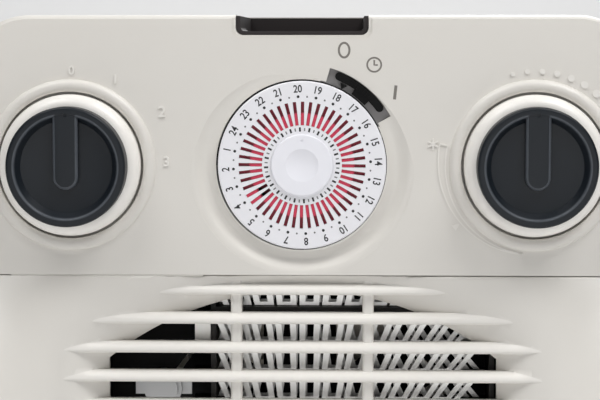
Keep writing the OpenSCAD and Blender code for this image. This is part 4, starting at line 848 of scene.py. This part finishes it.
def front_matrix(y, turn=0.0, reach=0.0):
    """Puts a flat piece drawn in XY on the front, turned clockwise about the dial's centre."""
    return (
        Matrix.Translation((dial_centre.x, y, dial_centre.z))
        @ Matrix.Rotation(turn, 4, "Y")
        @ Matrix.Translation((0, 0, reach))
        @ Matrix.Rotation(math.radians(90), 4, "X")
    )


def text_mesh(words, size, thickness, bold):
    """A line of figures as a thin mesh, centred, facing +Z."""
    curve = bpy.data.curves.new("figure", "FONT")
    curve.body = words
    curve.size = size
    curve.align_x = "CENTER"
    curve.align_y = "CENTER"
    curve.extrude = thickness / 2
    curve.offset = bold
    curve.resolution_u = 3
    holder = held("figure", curve)
    shape = evaluated_mesh(holder)
    bpy.data.objects.remove(holder)
    bpy.data.curves.remove(curve)
    return shape


def gathered(name, shapes):
    """Joins (mesh, matrix) pairs into one mesh."""
    work = bmesh.new()
    for shape, matrix in shapes:
        part = shape.copy()
        part.transform(matrix)
        work.from_mesh(part)
        bpy.data.meshes.remove(part)
    return as_mesh(work, name)


def make_marks_tree():
    """Geometry Nodes: a ring of equal printed marks, drawn in XY round the origin."""
    tree = bpy.data.node_groups.new("ring_of_marks", "GeometryNodeTree")
    floats = ("Step Angle", "Radius", "Length", "Width", "Thickness", "Start Angle")
    sockets = [("Count", "Int"), *((label, "Float") for label in floats),
               ("Round", "Bool"), ("Material", "Material")]
    for label, kind in sockets:
        tree.interface.new_socket(label, in_out="INPUT", socket_type="NodeSocket" + kind)
    tree.interface.new_socket("Geometry", in_out="OUTPUT", socket_type="NodeSocketGeometry")
    given, result = tree.nodes.new("NodeGroupInput"), tree.nodes.new("NodeGroupOutput")
    line = add_node(tree, "GeometryNodeMeshLine", {"Offset": (0, 0, 0)})
    index = add_node(tree, "GeometryNodeInputIndex")
    angle = add_node(tree, "ShaderNodeMath", operation="MULTIPLY_ADD")
    turn = add_node(tree, "ShaderNodeCombineXYZ")
    bar = add_node(tree, "GeometryNodeMeshCube")
    size = add_node(tree, "ShaderNodeCombineXYZ")
    dot = add_node(tree, "GeometryNodeMeshCylinder", {"Vertices": DOT_SIDES})
    half = add_node(tree, "ShaderNodeMath", {1: 0.5}, operation="MULTIPLY")
    which = add_node(tree, "GeometryNodeSwitch", input_type="GEOMETRY")
    outwards = add_node(tree, "ShaderNodeCombineXYZ")
    shift = add_node(tree, "GeometryNodeTransform")
    scatter = add_node(tree, "GeometryNodeInstanceOnPoints")
    real = add_node(tree, "GeometryNodeRealizeInstances")
    finish = add_node(tree, "GeometryNodeSetMaterial")
    wire(
        (given, "Count", line, "Count"),
        (index, 0, angle, 0), (given, "Step Angle", angle, 1), (given, "Start Angle", angle, 2),
        (angle, 0, turn, "Z"),
        (given, "Width", size, "X"), (given, "Length", size, "Y"), (given, "Thickness", size, "Z"),
        (size, 0, bar, "Size"),
        (given, "Width", half, 0),
        (half, 0, dot, "Radius"), (given, "Thickness", dot, "Depth"),
        (given, "Round", which, "Switch"),
        (bar, "Mesh", which, "False"), (dot, "Mesh", which, "True"),
        (given, "Radius", outwards, "Y"),
        (which, 0, shift, "Geometry"), (outwards, 0, shift, "Translation"),
        (line, "Mesh", scatter, "Points"), (shift, "Geometry", scatter, "Instance"),
        (turn, 0, scatter, "Rotation"),
        (scatter, "Instances", real, "Geometry"),
        (real, "Geometry", finish, "Geometry"), (given, "Material", finish, "Material"),
        (finish, "Geometry", result, "Geometry"),
    )
    return tree


marks_tree = make_marks_tree()


def ring_of_marks(count, radius, length, width, thickness, start, step, is_round, ink):
    """Equal marks round the dial centre as a plain mesh, clockwise from a start."""
    holder = held("growing", bpy.data.meshes.new("growing"))
    modifier = holder.modifiers.new("growing", "NODES")
    modifier.node_group = marks_tree
    values = {
        "Count": count, "Radius": radius, "Length": length, "Width": width, "Thickness": thickness,
        "Start Angle": -start, "Step Angle": -step, "Round": is_round, "Material": ink,
    }
    for item in marks_tree.interface.items_tree:
        if item.in_out == "INPUT":
            modifier[item.identifier] = values[item.name]
    shape = evaluated_mesh(holder)
    discard(holder)
    return shape


def hour_turn(hour):
    """The angle at which an hour stands on the dial, clockwise from the top."""
    return DIAL_SET + HOUR_STEP * (HOUR_AT_TOP - hour)


def print_dial():
    """Figures, dots and the inner ticks, all as thin prints on the dial's face."""
    face = dial_lo.y - PRINT / 2
    narrowed = Matrix.Diagonal((FIGURE_NARROWED, 1, 1, 1))
    figures = [
        (text_mesh(str(hour), FIGURE_SIZE, PRINT, FIGURE_BOLD),
         front_matrix(face, hour_turn(hour), FIGURE_RADIUS) @ narrowed)
        for hour in range(1, HOURS + 1)
    ]
    new_piece("dial_figures", gathered("dial_figures", figures), ink_black, "dial", "white_dial")
    on_hour, on_half = hour_turn(HOUR_AT_TOP), hour_turn(HOUR_AT_TOP + 0.5)
    rings = [
        ("hour_dots", DOT_RADIUS, 1.0 * MM, 1.15 * MM, on_hour, True, ink_black),
        ("half_hour_dots", DOT_RADIUS, 0.7 * MM, 0.75 * MM, on_half, True, ink_grey),
        ("inner_hour_ticks", TICK_RADIUS, 1.7 * MM, 0.75 * MM, on_hour, False, ink_black),
        ("inner_half_ticks", TICK_RADIUS, 1.2 * MM, 0.5 * MM, on_half, False, ink_grey),
    ]
    for name, radius, length, width, start, is_round, ink in rings:
        shape = ring_of_marks(HOURS, radius, length, width, PRINT, start, HOUR_STEP, is_round, ink)
        shape.transform(front_matrix(face))
        new_piece(name, shape, ink, "dial", "white_dial")


def tappet_feet(name, body, count, slot, out=0.0):
    """Long flat feet behind some slots, riding with the dial or with one tappet."""
    start = DIAL_SET + SLOT_STEP * (slot + 0.5)
    shape = ring_of_marks(count, FOOT_RADIUS + out, FOOT_LENGTH, FOOT_WIDTH, FOOT_THICKNESS,
                          start, SLOT_STEP, False, tappet_red_painted_shade)
    shape.transform(front_matrix(dial_lo.y + DIAL_THICKNESS + FOOT_GAP + FOOT_THICKNESS / 2))
    new_piece(name, shape, tappet_red_painted_shade, body, "red_tappet")


dial_white = moulded("dial_white", (0.87, 0.865, 0.90), (0.81, 0.805, 0.84), 0.34, grain_depth=0.01)
cap_white = moulded("cap_white", (0.88, 0.88, 0.93), (0.82, 0.82, 0.88), 0.30, grain_depth=0.008)
tappet_red = moulded("tappet_red", (0.66, 0.030, 0.085), (0.54, 0.02, 0.06), 0.36)
# Darker copy of the tappet red: painted shade at the bottom of the slots.
tappet_red_painted_shade = moulded("tappet_foot_red_painted_shade", (0.40, 0.012, 0.04), (0.28, 0.010, 0.03), 0.45)
ink_black = moulded("ink_black", (0.012, 0.012, 0.014), (0.02, 0.02, 0.022), 0.45,
                    grain_depth=0.005)
ink_grey = moulded("ink_grey", (0.16, 0.16, 0.165), (0.22, 0.22, 0.225), 0.45, grain_depth=0.005)
dress(dial_white, "timer_dial")
dress(cap_white, "timer_cap")
dress(tappet_red, "tappets", *["tappet_" + letter for letter in SINGLE_TAPPETS])
print_dial()
singles = len(SINGLE_TAPPETS)
tappet_feet("tappet_feet", "dial", SLOT_COUNT - singles, SINGLE_FIRST + singles)
for index, letter in enumerate(SINGLE_TAPPETS):
    tappet_feet("tappet_foot_" + letter, "tappet_" + letter, 1, SINGLE_FIRST + index,
                TAPPET_TRAVEL if letter in PUSHED_OUT else 0.0)

# --------------------------------------
# The ring that closes the gap round the dial.
# A cream lip of the panel behind the dial's rim. It stands off centre, so the
# open gap is a crescent at the upper left and only a line at the lower right.

LIP_INNER = 34.27 * MM
LIP_OUTER = 34.72 * MM
LIP_SHIFT = Vector((-0.24 * MM, 0, 0.14 * MM))
LIP_FRONT = dial_lo.y + 0.5 * MM
LIP_BACK = dial_lo.y + 1.6 * MM
LIP_THINNEST = 0.03 * MM
# The lip is left open where the slide switch reaches the dial.
LIP_OPEN_FROM = math.radians(12.5)
LIP_OPEN_TO = math.radians(63.5)
LIP_STEPS = 160


def gap_lip():
    """Flat ring, open at the switch, whose inner edge is off centre towards the upper left."""
    rows = []
    for i in range(LIP_STEPS + 1):
        turn = LIP_OPEN_TO + (2 * math.pi - LIP_OPEN_TO + LIP_OPEN_FROM) * i / LIP_STEPS
        way = Vector((math.sin(turn), 0, math.cos(turn)))
        near, far = dial_centre + way * LIP_INNER + LIP_SHIFT, dial_centre + way * LIP_OUTER
        if (near - dial_centre).length > LIP_OUTER - LIP_THINNEST:
            near = dial_centre + way * (LIP_OUTER - LIP_THINNEST)
        corners = ((near, LIP_FRONT), (far, LIP_FRONT), (far, LIP_BACK), (near, LIP_BACK))
        rows.append([(spot.x, y, spot.z) for spot, y in corners])
    return solid_mesh("gap_lip", rows)


new_piece("gap_lip", gap_lip(), cream, "housing", "cream_shell")

# --------------------------------------
# The slide switch beside the dial and the time pointer.
# Black acetal slider over a grey floor; the pointer is a black insert. The
# three symbols beside it are pad-printed in grey.

RAY_START = front_y - 0.05
PRINT_SUNK = 0.02 * MM
OVAL_SIDES = 40
SYMBOL_STROKE = 0.85 * MM
CLOCK_STROKE = 0.7 * MM
OFF_SIZE = (2.1 * MM, 2.9 * MM)
CLOCK_RADIUS = 2.8 * MM
CLOCK_HANDS = [(0, 1.9 * MM), (0, -0.1 * MM), (1.4 * MM, -0.1 * MM)]
ALWAYS_BAR = [(0, -2.8 * MM), (0, 0), (0, 2.8 * MM)]
ALWAYS_STROKE = 1.2 * MM
# Places of the symbols from the dial's centre, to the right and upwards, in millimetres.
OFF_PLACE, CLOCK_PLACE, ALWAYS_PLACE = (16.8, 46.0), (28.8, 40.2), (37.2, 29.2)
ALWAYS_LEAN = math.radians(-6)


def panel_surface():
    """The front of the control panel as a tree for rays."""
    mesh = nodes["control_panel"].data
    faces = [face.vertices[:] for face in mesh.polygons]
    return BVHTree.FromPolygons([vertex.co for vertex in mesh.vertices], faces)


panel_tree = panel_surface()


def laid_on_panel(mesh, sunk):
    """Drops a flat mesh, drawn on the front, onto the crowned panel, and a little into it."""
    for vertex in mesh.vertices:
        start = Vector((vertex.co.x, RAY_START, vertex.co.z))
        hit = panel_tree.ray_cast(start, Vector((0, 1, 0)))[0]
        if hit:
            vertex.co.y += hit.y - sunk
    return mesh


def band(points, widths, thickness, closed=False):
    """Flat band of varying width along XY points, as a closed thin solid facing +Z."""
    count = len(points)
    rows = []
    for i in range(count):
        before = points[i - 1] if (closed or i) else points[i]
        after = points[(i + 1) % count] if (closed or i < count - 1) else points[i]
        way = Vector((after[0] - before[0], after[1] - before[1])).normalized()
        side = Vector((-way.y, way.x)) * widths[i] / 2
        x, y = points[i]
        rows.append([
            (x + s * side.x, y + s * side.y, h * thickness / 2)
            for s, h in ((1, 1), (-1, 1), (-1, -1), (1, -1))
        ])
    return solid_mesh("band", rows, closed)


def stroke(points, width, thickness):
    """Flat band of one width."""
    return band(points, [width] * len(points), thickness)


def oval(rx, ry, width, thickness, sides=OVAL_SIDES):
    """Oval ring band."""
    points = [(rx * cosine, ry * sine) for sine, cosine in arc(2 * math.pi, sides)[:-1]]
    return band(points, [width] * sides, thickness, closed=True)


def on_front(x, z, turn=0.0):
    """Place of a symbol on the panel, in millimetres from the dial centre."""
    flat = Matrix.Translation((x * MM, z * MM, 0)) @ Matrix.Rotation(turn, 4, "Z")
    return front_matrix(0) @ flat


def switch_symbols():
    """Off, timer and always on, as thin prints on the panel."""
    shapes = [
        (oval(*OFF_SIZE, SYMBOL_STROKE, PRINT), on_front(*OFF_PLACE)),
        (oval(CLOCK_RADIUS, CLOCK_RADIUS, CLOCK_STROKE, PRINT), on_front(*CLOCK_PLACE)),
        (stroke(CLOCK_HANDS, CLOCK_STROKE, PRINT), on_front(*CLOCK_PLACE)),
        (stroke(ALWAYS_BAR, ALWAYS_STROKE, PRINT), on_front(*ALWAYS_PLACE, ALWAYS_LEAN)),
    ]
    mesh = gathered("switch_symbols", shapes)
    new_piece("switch_symbols", laid_on_panel(mesh, PRINT_SUNK), symbol_grey,
              "housing", "grey_plastic")


slider_black = moulded("slider_black", (0.0035, 0.0035, 0.0035), (0.005, 0.005, 0.005), 0.5,
                       specular=0.15)
floor_grey = moulded("switch_floor_grey", (0.30, 0.29, 0.29), (0.22, 0.21, 0.21), 0.5)
symbol_grey = moulded("symbol_grey", (0.19, 0.175, 0.155), (0.24, 0.22, 0.20), 0.5,
                      grain_depth=0.004)
dress(slider_black, "switch_slider", "time_pointer")
dress(floor_grey, "switch_floor")
switch_symbols()

# --------------------------------------
# Raised marks moulded round the two knobs.
# They stand 0.45 mm proud in the panel's plastic, in a paler cream that is a
# painted highlight: steps 0 to 3 at the selector; growing dots, a wedge with a
# tick and a frost star at the thermostat.

RAISED = 0.9 * MM
SELECTOR_X = -93.0
THERMOSTAT_X = 93.0
STEP_BOLD = 0.12 * MM
# Steps of the selector: figure, height, angle from straight up in degrees, and radius.
STEPS = [("0", 5.0, 1, 37.8), ("1", 5.0, 28, 38.8), ("2", 6.2, 60, 42.6), ("3", 5.6, 88, 38.6)]
WARMTH_DOTS, WARMTH_FROM, WARMTH_STEP, WARMTH_RADIUS = 8, -14, 9, 37.6
WARMTH_SIZE, WARMTH_GROWTH, WARMTH_FILLED, WARMTH_SIDES = 0.9, 0.12, 0.98, 14
WEDGE_FROM, WEDGE_TO, WEDGE_STEPS = 187, 283, 60
WEDGE_INNER, WEDGE_OUTER, WEDGE_GROWTH = 35.7, 35.9, 3.0
WEDGE_STROKE = 0.55 * MM
TICK_ANGLE, TICK_PLACE = 232, 38.2
TICK = [(0, 0), (0, 2.6 * MM)]
TICK_WIDTHS = [0.5 * MM, 2.6 * MM]
STAR_ANGLE, STAR_PLACE = -78, 41.5
STAR_ARM = [(0, -2.3 * MM), (0, 2.3 * MM)]
STAR_STROKE = 0.6 * MM


def knob_place(knob_x, angle, radius, turn=0.0):
    """Place of a mark round a knob, at an angle in degrees clockwise from straight up."""
    a = math.radians(angle)
    return on_front(knob_x + radius * math.sin(a), radius * math.cos(a), turn)


def wedge_edge(radius, growth):
    """One long edge of the wedge-shaped arc, whose radius may grow along it."""
    points = []
    for i in range(WEDGE_STEPS + 1):
        a = math.radians(WEDGE_FROM + (WEDGE_TO - WEDGE_FROM) * i / WEDGE_STEPS)
        r = (radius + growth * i / WEDGE_STEPS) * MM
        points.append((r * math.sin(a), r * math.cos(a)))
    return points


def raised_marks():
    """All raised marks as one piece of the panel."""
    shapes = [
        (text_mesh(label, size * MM, RAISED, STEP_BOLD), knob_place(SELECTOR_X, angle, radius))
        for label, size, angle, radius in STEPS
    ]
    for i in range(WARMTH_DOTS):
        size = (WARMTH_SIZE + WARMTH_GROWTH * i) * MM
        dot = oval(size / 2, size / 2, size * WARMTH_FILLED, RAISED, WARMTH_SIDES)
        angle = WARMTH_FROM + WARMTH_STEP * i
        shapes.append((dot, knob_place(THERMOSTAT_X, angle, WARMTH_RADIUS)))
    inner, outer = wedge_edge(WEDGE_INNER, 0.0), wedge_edge(WEDGE_OUTER, WEDGE_GROWTH)
    for points in (inner, outer, [inner[-1], outer[-1]]):
        shapes.append((stroke(points, WEDGE_STROKE, RAISED), on_front(THERMOSTAT_X, 0)))
    shapes.append((band(TICK, TICK_WIDTHS, RAISED),
                   knob_place(THERMOSTAT_X, TICK_ANGLE, TICK_PLACE, -math.radians(TICK_ANGLE))))
    for turn in (0, 60, 120):
        shapes.append((stroke(STAR_ARM, STAR_STROKE, RAISED),
                       knob_place(THERMOSTAT_X, STAR_ANGLE, STAR_PLACE, math.radians(turn))))
    mesh = gathered("raised_marks", shapes)
    new_piece("raised_marks", laid_on_panel(mesh, 0.0), marks_cream_painted_light, "housing", "cream_shell")


# Paler than the panel's cream: painted highlight on the raised marks.
marks_cream_painted_light = moulded("cream_marks_painted_light", (0.82, 0.795, 0.75), (0.78, 0.755, 0.71), 0.36)
raised_marks()

# --------------------------------------
# Works behind the controls.
# Zinc-plated steel, brass springs, nylon wheels and black phenolic cases, all
# screwed to posts of the control panel.

LINES_STRENGTH = 0.8


def make_lines_group():
    """Fine parallel lines, as drawn wire, brushing or stacked sheet leaves them."""
    tree, given, result = group_with(
        "fine_lines", [("Vector", "v"), ("Scale", "f"), ("Waver", "f")], [("Height", "f")]
    )
    wave = add_node(tree, "ShaderNodeTexWave", {"Detail": 1},
                    wave_type="BANDS", bands_direction="Y", wave_profile="SIN")
    wire(
        (given, "Vector", wave, "Vector"),
        (given, "Scale", wave, "Scale"),
        (given, "Waver", wave, "Distortion"),
        (wave, "Fac", result, "Height"),
    )
    return tree


lines_group = make_lines_group()


def lined(material, scale, waver, depth):
    """Adds fine lines to a material's bump, under its grain."""
    tree = material.node_tree
    place, grain_bump = node_of(tree, "TEX_COORD"), node_of(tree, "BUMP")
    lines = add_node(tree, "ShaderNodeGroup", {"Scale": scale, "Waver": waver},
                     node_tree=lines_group)
    bump = add_node(tree, "ShaderNodeBump", {"Strength": LINES_STRENGTH, "Distance": depth * MM})
    wire(
        (place, "Object", lines, "Vector"),
        (lines, "Height", bump, "Height"),
        (bump, "Normal", grain_bump, "Normal"),
    )
    return material


zinc = lined(moulded("zinc_steel", (0.62, 0.62, 0.62), (0.5, 0.5, 0.5), 0.32, metallic=1.0),
             900, 3.0, 0.01)
brass = moulded("brass", (0.75, 0.56, 0.25), (0.66, 0.48, 0.2), 0.3, metallic=1.0)
bimetal = moulded("bimetal_strip", (0.60, 0.55, 0.46), (0.46, 0.40, 0.34), 0.34,
                  metallic=1.0, amount=0.9)
phenolic = moulded("black_phenolic", (0.012, 0.012, 0.012), (0.018, 0.017, 0.016), 0.45)
nylon = moulded("nylon", (0.72, 0.69, 0.60), (0.62, 0.59, 0.50), 0.45)
dress(zinc, "selector_spindle", "thermostat_spindle", "thermostat_frame", "timer_post",
      "panel_screws")
dress(brass, "selector_terminals", "thermostat_contact", "drive_pinion")
dress(bimetal, "thermostat_bimetal")
dress(phenolic, "timer_case", "timer_contact", "selector_switch", "slide_switch")
dress(nylon, "idler_gear", "feeler_lever", "timer_motor")
# The wheel seen through the slots wears the darker red of painted shade.
dress(tappet_red_painted_shade, "dial_wheel")

# --------------------------------------
# The heating element.
# A bright zigzag resistance ribbon between dark mica boards, with white
# ceramic end blocks, a cut-out and a fuse beside it on the duct's plate.

# Dark mica, made near black as painted shade where the boards sit behind the slats.
mica = moulded("mica_board_painted_shade", (0.016, 0.013, 0.011), (0.010, 0.008, 0.007), 0.5)
ribbon_metal = moulded("ribbon_metal", (0.97, 0.96, 0.94), (0.90, 0.89, 0.86), 0.36,
                       metallic=0.85, amount=0.7)
ceramic = moulded("ceramic", (0.80, 0.78, 0.74), (0.7, 0.68, 0.63), 0.6)
# Glazed, but paler than the other ceramic and half metallic: painted light for the end block in the
# shade behind the slats.
glazed_painted_light = moulded("glazed_ceramic_painted_light", (0.95, 0.93, 0.89), (0.88, 0.86, 0.81), 0.34,
                 metallic=0.5, coat=0.6)
dress(mica, "heater_frame")
dress(ribbon_metal, "heater_ribbon")
dress(glazed_painted_light, "heater_block")
dress(ceramic, "thermal_fuse", "terminal_block")
dress(zinc, "thermal_cutout")

# --------------------------------------
# The air duct, the fan and its motor.
# Black moulded duct and wheel; shaded-pole motor of stacked steel laminations
# with a wound copper coil between two pressed brackets.

duct_black = moulded("duct_black", (0.0025, 0.0023, 0.0022), (0.004, 0.004, 0.004), 0.6,
                     specular=0.2)
fan_black = moulded("fan_black", (0.010, 0.010, 0.011), (0.016, 0.016, 0.017), 0.5)
lamination = moulded("lamination", (0.12, 0.125, 0.13), (0.09, 0.09, 0.10), 0.5, metallic=0.6)
lined(lamination, 320, 0.2, 0.15)
copper = lined(moulded("copper_coil", (0.55, 0.23, 0.09), (0.42, 0.17, 0.06), 0.4), 260, 0.6, 0.12)
dress(duct_black, "air_duct")
dress(fan_black, "fan_wheel")
dress(lamination, "motor_rotor", "motor_stator")
dress(copper, "motor_coil")
dress(zinc, "motor_shaft", "motor_front_bracket", "motor_rear_bracket", "motor_screws",
      "duct_screws")

# --------------------------------------
# The cord bush, the housing screws and the feet.
# Black nylon bush pressed in the back wall, blackened screws at the bottom of
# deep wells, four rubber feet pushed into the bottom.

rubber = moulded("rubber", (0.018, 0.018, 0.018), (0.026, 0.026, 0.026), 0.75)
dress(phenolic, "cord_gland")
dress(zinc, "housing_screws")
dress(rubber, "rubber_feet")
